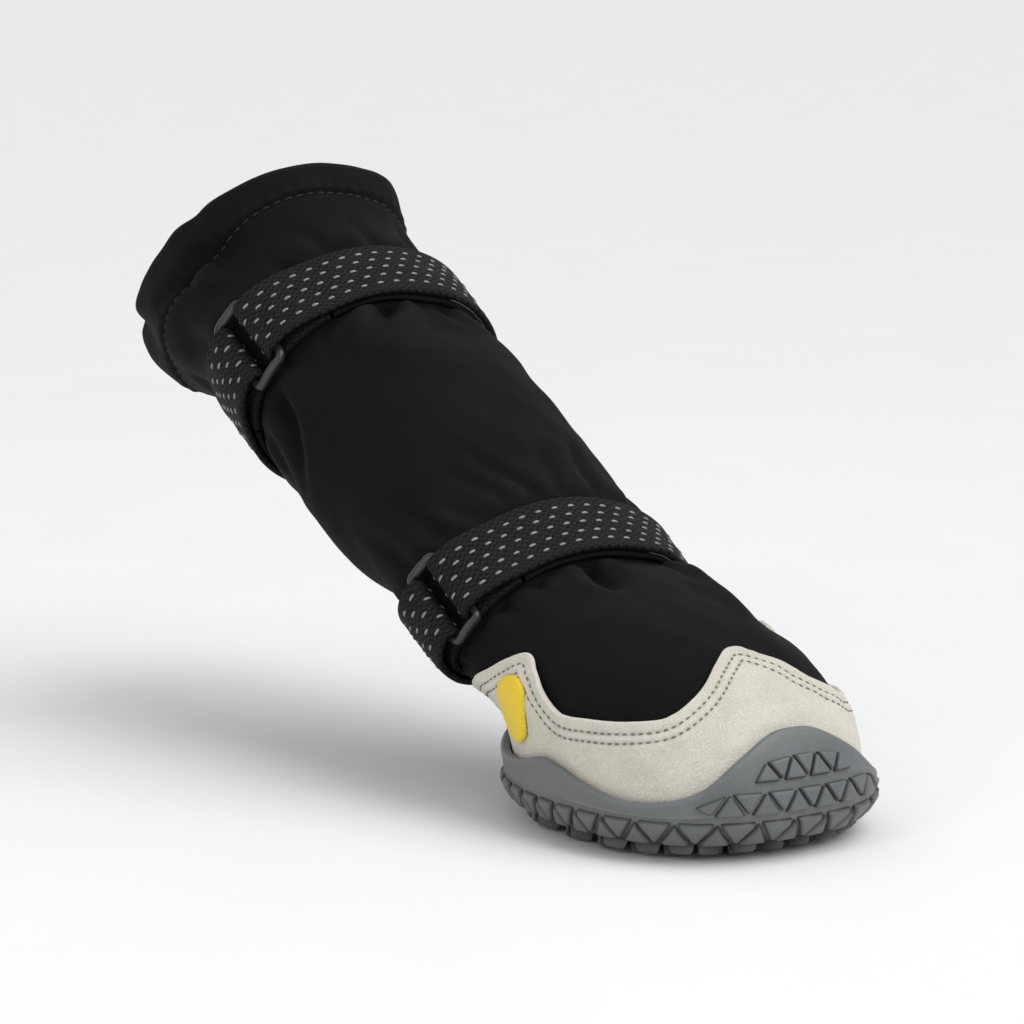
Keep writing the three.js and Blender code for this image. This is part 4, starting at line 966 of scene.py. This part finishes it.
def cup_chart():
    rows = cup_profile(CHART_BEARINGS)
    rows = np.concatenate([np.broadcast_to([0, 0, LUG_HEIGHT], rows[:1].shape), rows])
    steps = np.linalg.norm(np.diff(rows, axis=0), axis=-1)
    reach = np.vstack([np.zeros(rows.shape[1]), np.cumsum(steps, axis=0)])
    table = np.empty((len(CHART_BEARINGS), len(CHART_WAYS), 3))
    for column in range(len(CHART_BEARINGS)):
        last = rows[-1, column] - rows[-2, column]
        last = last / np.linalg.norm(last)
        over = np.maximum(CHART_WAYS - reach[-1, column], 0)[:, None]
        for axis in range(3):
            table[column, :, axis] = np.interp(CHART_WAYS, reach[:, column], rows[:, column, axis])
        table[column] += last * over
    return table


CHART = cup_chart()


def chart_at(bearing, way):
    x = (np.arctan2(np.sin(bearing), np.cos(bearing)) + math.pi) / (2 * math.pi) * (len(CHART_BEARINGS) - 1)
    x = np.clip(x, 0, len(CHART_BEARINGS) - 1.001)
    y = np.clip(np.asarray(way) / CHART_STEP, 0, len(CHART_WAYS) - 1.001)
    i, j = x.astype(int), y.astype(int)
    u, v = (x - i)[..., None], (y - j)[..., None]
    low = CHART[i, j] * (1 - v) + CHART[i, j + 1] * v
    high = CHART[i + 1, j] * (1 - v) + CHART[i + 1, j + 1] * v
    return low * (1 - u) + high * u


def way_to_height(bearing, height):
    at = chart_at(np.full(len(CHART_WAYS), bearing), CHART_WAYS)[:, 2]
    return float(np.interp(height, at, CHART_WAYS))


def chart_normal(bearing, way):
    step = 0.35
    swing = step / np.maximum(way, step)
    along = chart_at(bearing, way + step) - chart_at(bearing, np.maximum(way - step, 0))
    around = chart_at(bearing + swing, way) - chart_at(bearing - swing, way)
    return unit(np.cross(around, along))


def polygon_area(corners):
    x, y = corners[:, 0], corners[:, 1]
    return float((x * np.roll(y, -1) - np.roll(x, -1) * y).sum() / 2)


def inset_polygon(corners, inset):
    """A convex polygon, counter-clockwise, moved in by inset on each side, or None if nothing is left."""
    count = len(corners)
    lines = []
    for index in range(count):
        start, end = corners[index], corners[(index + 1) % count]
        direction = (end - start) / np.linalg.norm(end - start)
        lines.append((start + np.array([-direction[1], direction[0]]) * inset, direction))
    result = []
    for index in range(count):
        (p, d), (q, e) = lines[index - 1], lines[index]
        cross = d[0] * e[1] - d[1] * e[0]
        if abs(cross) < 1e-6:
            return None
        t = ((q - p)[0] * e[1] - (q - p)[1] * e[0]) / cross
        result.append(p + d * t)
    result = np.array(result)
    for index in range(count):
        side = result[(index + 1) % count] - result[index]
        if side @ lines[index][1] <= 0.12:
            return None
    return result


def rounded_corners(corners, radius):
    points = []
    count = len(corners)
    for index in range(count):
        corner = corners[index]
        before = corners[index - 1] - corner
        after = corners[(index + 1) % count] - corner
        reach = min(radius, 0.3 * np.linalg.norm(before), 0.3 * np.linalg.norm(after))
        start = corner + before / np.linalg.norm(before) * reach
        end = corner + after / np.linalg.norm(after) * reach
        for share in (0, 0.5, 1):
            points.append((1 - share) ** 2 * start + 2 * share * (1 - share) * corner + share ** 2 * end)
    return np.array(points)


def cut_polygon(corners, normal, limit):
    """The part of a convex polygon on the far side of a line."""
    kept = []
    count = len(corners)
    for index in range(count):
        a, b = corners[index], corners[(index + 1) % count]
        ha, hb = a @ normal - limit, b @ normal - limit
        if ha >= 0:
            kept.append(a)
        if ha * hb < 0:
            kept.append(a + (b - a) * ha / (ha - hb))
    return np.array(kept)


# Rings of a lug: inset as a share of the groove, rise as a share of the height, -1 for the root
LUG_STEPS = [(0.20, -1.0), (0.27, 0.12), (0.46, 0.66), (0.58, 0.88), (0.74, 0.97), (1.0, 1.0)]

LEAST_RINGS, LUG_CORNER = 4, 0.55
# Rows of lugs on the toe bumper, from the lowest: half the row's reach in degrees, count
BUMPER_ROWS = [(40, 8), (28, 6)]
BUMPER_GROOVE = 0.9
TREAD_SHADE = 0.85


class Lugs:
    """Gathers lugs as points and faces, with how deep each point lies in the grooves."""

    def __init__(self):
        self.points, self.faces, self.depths = [], [], []

    def add(self, corners, height, groove=GROOVE):
        corners = np.array(corners, float)
        if polygon_area(corners) < 0:
            corners = corners[::-1]
        loops = []
        for inset, rise in LUG_STEPS:
            loop = inset_polygon(corners, inset * groove)
            if loop is None:
                break
            loop = rounded_corners(loop, LUG_CORNER)
            loops.append((loop, height * rise if rise > 0 else -LUG_ROOT))
            self.depths += [1 - max(rise, 0)] * len(loop)
        if len(loops) < LEAST_RINGS:
            self.depths = self.depths[:len(self.points)]
            return
        start, around = len(self.points), len(loops[0][0])
        for loop, out in loops:
            bearing, way = np.arctan2(loop[:, 0], -loop[:, 1]), np.linalg.norm(loop, axis=1)
            self.points += list(chart_at(bearing, way) + chart_normal(bearing, way) * out)
        self.faces += grid_faces(len(loops), around, start=start)
        top = start + (len(loops) - 1) * around
        self.faces.append(list(range(top, top + around)))
        self.faces.append(list(range(start, start + around))[::-1])


def badge_cut(corners):
    """What is left of a bottom lug beside the badge."""
    room = FIT_GAP + 0.35
    half_x, half_y = BADGE_LENGTH / 2 + room, BADGE_WIDTH / 2 + room
    middle = np.array([0, BADGE_BEHIND])
    local = corners - middle
    low, high = local.min(0), local.max(0)
    if low[0] > half_x or high[0] < -half_x or low[1] > half_y or high[1] < -half_y:
        return corners
    best = None
    for normal, limit in (((1, 0), half_x), ((-1, 0), half_x), ((0, 1), half_y), ((0, -1), half_y)):
        part = cut_polygon(local, np.array(normal, float), limit)
        if len(part) > 2 and (best is None or abs(polygon_area(part)) > abs(polygon_area(best))):
            best = part
    return None if best is None or abs(polygon_area(best)) < 3 else best + middle


def bottom_lugs(lugs):
    limit = LUG_HEIGHT + LUG_SIDE * 0.16
    count = math.ceil(SOLE_LENGTH / LUG_PITCH)
    for line in range(-count, count):
        for column in range(-count, count):
            for points in (0, 1):
                x = (column + (line % 2) * 0.5 - 0.5) * LUG_SIDE
                y = (line - 1 / 3) * LUG_PITCH
                tip = y + LUG_PITCH if points else y - LUG_PITCH
                corners = np.array([(x, y), (x + LUG_SIDE, y), (x + LUG_SIDE / 2, tip)])
                middle = corners.mean(0)
                bearing, way = math.atan2(middle[0], -middle[1]), float(np.linalg.norm(middle))
                if way >= way_to_height(bearing, limit):
                    continue
                corners = badge_cut(corners)
                if corners is None:
                    continue
                height = float(chart_at(np.array(bearing), np.array(way))[2])
                share = min(max((height - LUG_HEIGHT) / (WIDEST_HEIGHT - LUG_HEIGHT) * 2, 0), 1)
                lugs.add(corners, LUG_HEIGHT + (SIDE_LUG_HEIGHT - LUG_HEIGHT) * share)


def lug_row(lugs, low, high, half, count, groove=GROOVE):
    """Lugs that point up and down in turn, between two heights on the side of the cup."""
    swing = 2 * half / count
    for index in range(count):
        for points in (0, 1):
            start = -half + (index + points / 2) * swing
            if index == count - 1 and points == 1 and half < math.pi:
                continue
            bearings = [start, start + swing, start + swing / 2]
            heights = [high, high, low] if points else [low, low, high]
            if min(high(bearing) - low(bearing) for bearing in bearings) < LEAST_LUG:
                continue
            corners = []
            for bearing, height_at in zip(bearings, heights):
                way = way_to_height(bearing, height_at(bearing))
                corners.append((math.sin(bearing) * way, -math.cos(bearing) * way))
            lugs.add(corners, SIDE_LUG_HEIGHT, groove)


def rounded_outline(length, width, corner, steps):
    points = []
    for sx, sy, start in ((1, 1, 0), (-1, 1, 90), (-1, -1, 180), (1, -1, 270)):
        for angle in np.radians(np.linspace(start, start + 90, steps + 1)):
            points.append((sx * (length / 2 - corner) + corner * math.cos(angle),
                           sy * (width / 2 - corner) + corner * math.sin(angle)))
    return np.array(points)


def plate(name, levels, material, steps=6):
    """A closed plate round the badge's outline. Each level is a height and how far it is let out."""
    rows = []
    for height, grow in levels:
        outline = rounded_outline(BADGE_LENGTH + 2 * grow, BADGE_WIDTH + 2 * grow,
                                  max(BADGE_CORNER + grow, 0.2), steps)
        behind = outline[:, 1] + BADGE_BEHIND
        rows.append(np.column_stack([outline[:, 0], behind, np.full(len(outline), height)]))
    around = len(rows[0])
    faces = grid_faces(len(rows), around)
    faces += [list(range(around)), list(range((len(rows) - 1) * around, len(rows) * around))[::-1]]
    return make_piece(name, np.array(rows), faces, material, sharp=40)


def make_cup():
    bearings = (np.arange(CUP_COLUMNS) + 0.5) / CUP_COLUMNS * 2 * math.pi - math.pi
    rows = list(cup_profile(bearings))
    rim = rim_height(bearings)
    lip = CUP_WALL / 2 - 0.15
    for angle in np.radians(np.linspace(20, 160, 9)):
        out = (CUP_OUT + CUP_IN) / 2 + (CUP_WALL / 2) * math.cos(angle)
        rows.append(foot_skin(bearings, rim - LIP_ROUND + lip * math.sin(angle), out))
    for share in np.linspace(0, 1, 9):
        height = rim - LIP_ROUND + (FLOOR_TOP + 0.3 - rim + LIP_ROUND) * share
        rows.append(foot_skin(bearings, height, CUP_IN))
    floor = rows[-1].copy()
    floor[:, 2] = FLOOR_TOP
    rows.append(floor)
    count = len(rows)
    points = [point for row in rows for point in row]
    points += [np.array([0, 0, LUG_HEIGHT]), np.array([0, 0, FLOOR_TOP])]
    faces = grid_faces(count, CUP_COLUMNS)
    last = (count - 1) * CUP_COLUMNS
    for index in range(CUP_COLUMNS):
        after = (index + 1) % CUP_COLUMNS
        faces.append([after, index, len(points) - 2])
        faces.append([last + index, last + after, len(points) - 1])
    cup = make_piece("cup", points, faces, RUBBER)
    pocket = plate("pocket", [(-1, FIT_GAP), (LUG_HEIGHT + BADGE_POCKET, FIT_GAP)], RUBBER, steps=5)
    cut = cup.modifiers.new("pocket", "BOOLEAN")
    cut.object, cut.operation, cut.solver = pocket, "DIFFERENCE", "EXACT"
    mesh = evaluated(cup)
    bpy.data.objects.remove(cup)
    bpy.data.objects.remove(pocket)
    places = np.empty(len(mesh.vertices) * 3)
    mesh.vertices.foreach_get("co", places)
    return places.reshape(-1, 3) / MM, [list(polygon.vertices) for polygon in mesh.polygons]


def make_outsole():
    points, faces = make_cup()
    lugs = Lugs()
    bottom_lugs(lugs)
    ring_low = LUG_HEIGHT + LUG_SIDE * 0.3
    lug_row(lugs, lambda bearing: ring_low, lambda bearing: LUG_TOP, math.pi, RING_LUGS)
    for index, (half, count) in enumerate(BUMPER_ROWS):
        low = LUG_TOP + BUMPER_BAND * 0.6 + index * (BUMPER_LUG + BUMPER_BAND)

        def top(bearing, low=low):
            return min(low + BUMPER_LUG, float(rim_height(bearing)) - BUMPER_BAND)

        lug_row(lugs, lambda bearing, low=low: low, top, math.radians(half), count, BUMPER_GROOVE)
    start = len(points)
    faces += [[index + start for index in face] for face in lugs.faces]
    # painted shade between the lugs: cup points low in the tread get a deep groove share, as do lug points
    # near their roots
    depths = np.r_[TREAD_SHADE * swell((LUG_TOP - 0.6 - points[:, 2]) / 0.8), lugs.depths]
    chart = np.column_stack([depths, np.zeros(len(depths))])
    piece = make_piece("rubber_outsole", np.vstack([points, np.array(lugs.points)]), faces, RUBBER,
                       chart=chart, sharp=38)
    settle(piece, "sole_rubber", "outsole")


BADGE_ROUND = 0.6
BADGE_CROWN = [(0.06, 1.2), (0.1, 2.0), (0.12, 3.2)]


def make_badge():
    face = LUG_HEIGHT - BADGE_RELIEF
    levels = [(LUG_HEIGHT + BADGE_POCKET - FIT_GAP, 0)]
    for angle in np.linspace(0, math.pi / 2, 6):
        levels.append((face + BADGE_ROUND * (1 - math.sin(angle)), -BADGE_ROUND * (1 - math.cos(angle))))
    levels += [(face - bulge, -inset) for bulge, inset in BADGE_CROWN]
    piece = plate("heel_inlay", levels, BADGE, steps=8)
    settle(piece, "badge_rubber", "sole_badge")


make_outsole()
make_badge()


# Straps

UNDER = FIT_GAP + WEBBING / 2
BAR_LIFT = FIT_GAP + WEBBING + FIT_GAP + RING_BAR / 2
LOOP = RING_BAR / 2 + 1.5 * FIT_GAP + WEBBING / 2
OVER = 2 * FIT_GAP + WEBBING + WEBBING / 2


def strap_row(row, turn, way):
    """Row at a way across a strap from its middle row."""
    place = np.full(np.broadcast(turn, way).shape, float(row))
    near = 0.05
    for _ in range(6):
        step = smooth_skin(place + near, turn) - smooth_skin(place - near, turn)
        place = place + way / 6 / (np.linalg.norm(step, axis=-1) / (2 * near))
    return place


def strap_point(row, turn, way, out):
    turn, way, out = np.broadcast_arrays(turn, way, out)
    return skin(strap_row(row, turn, way), turn, out)


# How the webbing climbs to its ring: ways back from the bar in mm, shares of the climb
CLIMB_BACK, CLIMB_SHARE = (19, 14, 9, 4.5, 0), (0, 0.16, 0.55, 0.9, 1)


def folded_line(bar, way, over_turn, under_reach):
    """Middle line of a webbing end folded round a bar, as (arc, lift). way is 1 toward the toe."""
    start, end = bar + way * CLIMB_BACK[0], over_turn * LEG_RADIUS
    line = [(arc, OVER) for arc in np.linspace(end, start, int(abs(end - start)) + 2)[:-1]]
    top, last = BAR_LIFT + LOOP, len(CLIMB_BACK) - 1
    for at in np.linspace(0, last, 24)[:-1]:
        index = min(int(at), last - 1)
        four = [CLIMB_SHARE[min(max(index + step, 0), last)] for step in (-1, 0, 1, 2)]
        back = np.interp(at, np.arange(last + 1), CLIMB_BACK)
        line.append((bar + way * back, OVER + (top - OVER) * between(*four, at - index)))
    for sweep in np.linspace(0, math.pi, 15):
        line.append((bar - way * LOOP * math.sin(sweep), BAR_LIFT + LOOP * math.cos(sweep)))
    for arc in np.linspace(bar + way, bar + way * under_reach, 14):
        line.append((arc, UNDER))
    return np.array(line)


EDGE_ROUND, RIB_PITCH, RIB_RELIEF = 0.45, 2.1, 0.45


class Band:
    """A flat strap swept along a line of (arc, lift) round the leg."""

    def __init__(self, row, line, thickness, width=STRAP_WIDTH):
        self.row, self.line, self.thickness, self.half = row, line, thickness, width / 2
        self.along = unit(np.gradient(line, axis=0))
        middle = strap_point(row, line[:, 0] / LEG_RADIUS, 0.0, line[:, 1])
        self.reach = np.r_[0, np.cumsum(np.linalg.norm(np.diff(middle, axis=0), axis=-1))]

    def point(self, at, way, side):
        """Point at an index along the line, a way across and a side from -1, inner, to 1, outer."""
        line, along = sampled(self.line, at), unit(sampled(self.along, at))
        sign = 1 if self.along[:, 0].mean() > 0 else -1
        lift = side * sign * self.thickness / 2
        arc = line[:, 0] - along[:, 1] * lift
        return strap_point(self.row, arc / LEG_RADIUS, way, line[:, 1] + along[:, 0] * lift)

    def mesh(self, ribs=None):
        half = self.half
        top = np.linspace(-1, 1, 25)
        section = [(way * (half - EDGE_ROUND), 1.0) for way in top]
        section += [(half - 0.12, 0.6), (half, 0.0), (half - 0.12, -0.6)]
        section += [(way * (half - EDGE_ROUND), -1.0) for way in top[::-2]]
        section += [(-half + 0.12, -0.6), (-half, 0.0), (-half + 0.12, 0.6)]
        at = np.arange(len(self.line), dtype=float)
        points, chart = [], []
        for way, side in section:
            swollen = side
            if ribs is not None and side > 0.9:
                swollen = side + ribs * (np.abs(np.sin(self.reach * math.pi / RIB_PITCH)) - 0.6)
            points.append(self.point(at, np.full(len(at), way), np.broadcast_to(swollen, at.shape)))
            chart.append(np.column_stack([self.reach, np.full(len(at), way + (40 if side < 0 else 0))]))
        points, chart = np.array(points).transpose(1, 0, 2), np.array(chart).transpose(1, 0, 2)
        around = len(section)
        faces = grid_faces(len(at), around)
        last = (len(at) - 1) * around
        faces += [list(range(around))[::-1], list(range(last, last + around))]
        return points, faces, chart


DASH_ROWS = (-5.0, -2.5, 0.0, 2.5, 5.0)
DASH_PITCH, DASH_SIZE = 4.0, (1.8, 0.62, 0.2)


def dash_places(band, first, last):
    """Woven dashes on the outer face, in staggered rows, between two lengths along the band."""
    places, along, up = [], [], []
    for index, way in enumerate(DASH_ROWS):
        lengths = np.arange(first + DASH_PITCH * (0.25 + 0.5 * (index % 2)), last, DASH_PITCH)
        at = np.interp(lengths, band.reach, np.arange(len(band.reach)))
        ways = np.full(len(at), way)
        ahead = band.point(np.minimum(at + 0.4, len(band.reach) - 1), ways, 1.0)
        behind = band.point(np.maximum(at - 0.4, 0), ways, 1.0)
        across = band.point(at, ways + 0.4, 1.0) - band.point(at, ways - 0.4, 1.0)
        direction = unit(ahead - behind)
        inner, outer = band.point(at, ways, -1.0), band.point(at, ways, 1.0)
        normal = unit(np.cross(direction, across))
        normal *= np.sign((normal * (outer - inner)).sum(-1))[:, None]
        places.append(outer + normal * 0.02)
        along.append(direction)
        up.append(normal)
    return np.vstack(places), np.vstack(along), np.vstack(up)


def ring_mesh(row, middle):
    length = STRAP_WIDTH + 2 * RING_PLAY + RING_BAR
    reach = RING_REACH - RING_BAR
    corner = RING_BAR * 0.75
    path = []
    for su, sw, start in ((1, 1, 0), (-1, 1, 90), (-1, -1, 180), (1, -1, 270)):
        cu, cw = su * (reach / 2 - corner), sw * (length / 2 - corner)
        for angle in np.radians(np.linspace(start, start + 90, 9)):
            path.append((cu + corner * math.cos(angle), cw + corner * math.sin(angle), angle))
        run = length - 2 * corner if start in (90, 270) else reach - 2 * corner
        turn = math.radians(start + 90)
        for step in np.arange(0, run, 1.2)[1:]:
            path.append((path[-1][0] if start in (90, 270) else cu - su * step,
                         cw - sw * step if start in (90, 270) else path[-1][1], turn))
    sides = 16
    swing = (np.arange(sides) + 0.5) / sides * 2 * math.pi
    u, w, angle = np.array(path).T
    arc = middle + u[:, None] + RING_BAR / 2 * np.cos(swing) * np.cos(angle)[:, None]
    way = w[:, None] + RING_BAR / 2 * np.cos(swing) * np.sin(angle)[:, None]
    lift = np.broadcast_to(BAR_LIFT + RING_BAR / 2 * np.sin(swing), arc.shape)
    return strap_point(row, arc / LEG_RADIUS, way, lift), grid_faces(len(path), sides, loop=True)


UNDER_REACH, ELASTIC_ROOM = 14, 1
TAB_TURN = math.radians(-168)
HOOK_LENGTH, HOOK_THICKNESS = 24, 0.4


def make_strap(name, row, ring_turn, free_turn):
    """A strap from its ring's turn round the leg to the turn of its free end, both in degrees."""
    middle = math.radians(ring_turn) * LEG_RADIUS
    half = (RING_REACH - RING_BAR) / 2
    front_bar, rear_bar = middle + half, middle - half
    start = (front_bar + UNDER_REACH + ELASTIC_ROOM) / LEG_RADIUS
    end = 2 * math.pi + (rear_bar - UNDER_REACH - ELASTIC_ROOM) / LEG_RADIUS
    count = int((end - start) * LEG_RADIUS / 0.35)
    arcs = np.linspace(start, end, count) * LEG_RADIUS
    front = Band(row, folded_line(front_bar, 1, math.radians(free_turn), UNDER_REACH), WEBBING)
    rear = Band(row, folded_line(rear_bar, -1, TAB_TURN, UNDER_REACH), WEBBING)
    stretch = Band(row, np.column_stack([arcs, np.full(count, FIT_GAP + ELASTIC / 2)]), ELASTIC)
    for band, label, material, slot, ribs in (
        (front, "webbing", STRAP, "webbing", None),
        (rear, "tab", STRAP, "webbing", None),
        (stretch, "elastic", STRETCH, "elastic", RIB_RELIEF),
    ):
        points, faces, chart = band.mesh(ribs)
        piece = make_piece(f"{name}_{label}", points, faces, material, chart=chart, sharp=50)
        settle(piece, slot, f"{name}_strap_{label}")
    sets = [dash_places(band, 1.5, np.interp(len(band.line) - 16, np.arange(len(band.line)), band.reach))
            for band in (front, rear)]
    places, along, up = (np.vstack(parts) for parts in zip(*sets))
    shape = pill_shape("dash", *DASH_SIZE, DASH, sides=10)
    settle(repeated(f"{name}_dashes", places, along, up, shape, DASH, seed=5), "webbing")
    points, faces = ring_mesh(row, middle)
    settle(make_piece(f"{name}_ring", points, faces, PLASTIC), "ring_plastic", f"{name}_strap_ring")
    free_end = math.radians(free_turn) * LEG_RADIUS
    hook_arcs = np.linspace(free_end - HOOK_LENGTH, free_end + 0.25, 40)
    hook_lift = OVER - WEBBING / 2 - 0.28
    hook = Band(row, np.column_stack([hook_arcs, np.full(40, hook_lift)]), HOOK_THICKNESS, STRAP_WIDTH - 1.2)
    points, faces, chart = hook.mesh()
    settle(make_piece(f"{name}_hook_tape", points, faces, HOOK, chart=chart, sharp=50), "webbing")


make_strap("lower", LOWER_ROW, -74, 75)
make_strap("upper", UPPER_ROW, -72, 75)


# Embroidered bar

SATIN_PITCH, SATIN_SLANT = 0.42, 0.35


def make_mark():
    """A rounded bar of satin stitches on the guard's right wing."""
    rows, columns = 90, 25
    half_x, half_y = MARK_WIDTH / 2, MARK_HEIGHT / 2
    y = np.linspace(-half_y + 0.02, half_y - 0.02, rows)[:, None]
    over = np.maximum(np.abs(y) - (half_y - half_x), 0)
    wide = np.sqrt(np.maximum(half_x ** 2 - over ** 2, 0.05))
    wide = wide + 0.07 * np.sin(y * math.pi / SATIN_PITCH)
    across = np.linspace(-1, 1, columns)[None, :]
    x = across * wide
    dome = np.sqrt(np.maximum(1 - np.abs(across) ** 3.2, 0)) * np.minimum(np.sqrt(wide / half_x), 1)
    ribs = 0.05 * np.abs(np.sin((y + SATIN_SLANT * x) * math.pi / SATIN_PITCH))
    yy = np.broadcast_to(y, x.shape)
    bearing = MARK_BEARING + (x + yy * MARK_SLANT) / HALF_WIDTH
    base = GUARD_OUT + 0.12
    top = foot_skin(bearing, MARK_MIDDLE + yy, base + (MARK_THICKNESS + 0.25) * dome + ribs * dome)
    under = foot_skin(bearing, MARK_MIDDLE + yy, base - 0.1)
    ring = np.concatenate([top, under[:, ::-1]], axis=1)
    chart = np.concatenate([np.stack([yy + SATIN_SLANT * x, x], -1)] * 2, axis=1)
    around = ring.shape[1]
    faces = grid_faces(rows, around)
    faces += [list(range(around))[::-1], list(range((rows - 1) * around, rows * around))]
    settle(make_piece("wing_bar", ring, faces, SATIN, chart=chart, sharp=60), "embroidery", "wing_mark")


make_mark()

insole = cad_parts["insole"]
insole.data.materials.clear()
insole.data.materials.append(INSOLE)


# Camera, light and floor

PHOTO_FOCUS, PHOTO_DISTANCE, PHOTO_SIZE = 2380.0, 700.0, 1024
AZIMUTH, PITCH = math.radians(-37), math.radians(8.5)
SOLE_PIXEL, BOOT_PIXEL, ZOOM = (563, 722), (449, 518), 1.5


def place_camera():
    right = np.array([math.cos(AZIMUTH), math.sin(AZIMUTH), 0])
    level = math.cos(PITCH)
    back = np.array([math.sin(AZIMUTH) * level, -math.cos(AZIMUTH) * level, math.sin(PITCH)])
    up = np.cross(back, right)
    centre = PHOTO_SIZE / 2
    across, down = (SOLE_PIXEL[0] - centre, SOLE_PIXEL[1] - centre)
    place = PHOTO_DISTANCE * (back - right * across / PHOTO_FOCUS + up * down / PHOTO_FOCUS)
    aim = -back + right * (BOOT_PIXEL[0] - centre) / PHOTO_FOCUS - up * (BOOT_PIXEL[1] - centre) / PHOTO_FOCUS
    data = bpy.data.cameras.new("camera")
    data.sensor_width = 36
    data.lens = 36 * PHOTO_FOCUS / PHOTO_SIZE * ZOOM
    data.clip_start, data.clip_end = 0.01, 1000
    camera = bpy.data.objects.new("camera", data)
    camera.location = Vector(place * MM)
    camera.rotation_mode = "QUATERNION"
    camera.rotation_quaternion = Vector(aim).to_track_quat("-Z", "Y")
    bpy.context.scene.collection.objects.link(camera)
    bpy.context.scene.camera = camera


def softbox(name, place, target, size, power):
    data = bpy.data.lights.new(name, "AREA")
    data.shape, data.size, data.size_y = "RECTANGLE", size[0], size[1]
    data.energy = power
    light = bpy.data.objects.new(name, data)
    light.location = Vector(place)
    light.rotation_mode = "QUATERNION"
    light.rotation_quaternion = (Vector(target) - Vector(place)).to_track_quat("-Z", "Y")
    bpy.context.scene.collection.objects.link(light)


FLOOR_HALF = 300000
WORLD_LIGHT, SUN_LIGHT, SUN_BREADTH = 0.62, 1.25, math.radians(50)


def make_stage():
    points = [(x * FLOOR_HALF, y * FLOOR_HALF, 0) for x, y in ((-1, -1), (1, -1), (1, 1), (-1, 1))]
    make_piece("floor", points, [[0, 1, 2, 3]], PAPER)
    world = bpy.data.worlds.new("studio")
    world.use_nodes = True
    backdrop = world.node_tree.nodes["Background"]
    backdrop.inputs[0].default_value = (0.97, 0.98, 1, 1)
    backdrop.inputs[1].default_value = WORLD_LIGHT
    bpy.context.scene.world = world
    data = bpy.data.lights.new("sky_panel", "SUN")
    data.energy, data.angle = SUN_LIGHT, SUN_BREADTH
    panel = bpy.data.objects.new("sky_panel", data)
    panel.rotation_mode = "QUATERNION"
    panel.rotation_quaternion = Vector((-0.45, 0.35, -1)).to_track_quat("-Z", "Y")
    bpy.context.scene.collection.objects.link(panel)
    middle = (0, 0.05, 0.05)
    softbox("key", (0.15, -0.75, 0.75), middle, (0.5, 0.5), 2.2)
    softbox("side", (-1.0, -0.2, 0.5), middle, (0.3, 0.9), 1.6)
    bpy.context.scene.view_settings.view_transform = "Standard"


place_camera()
make_stage()
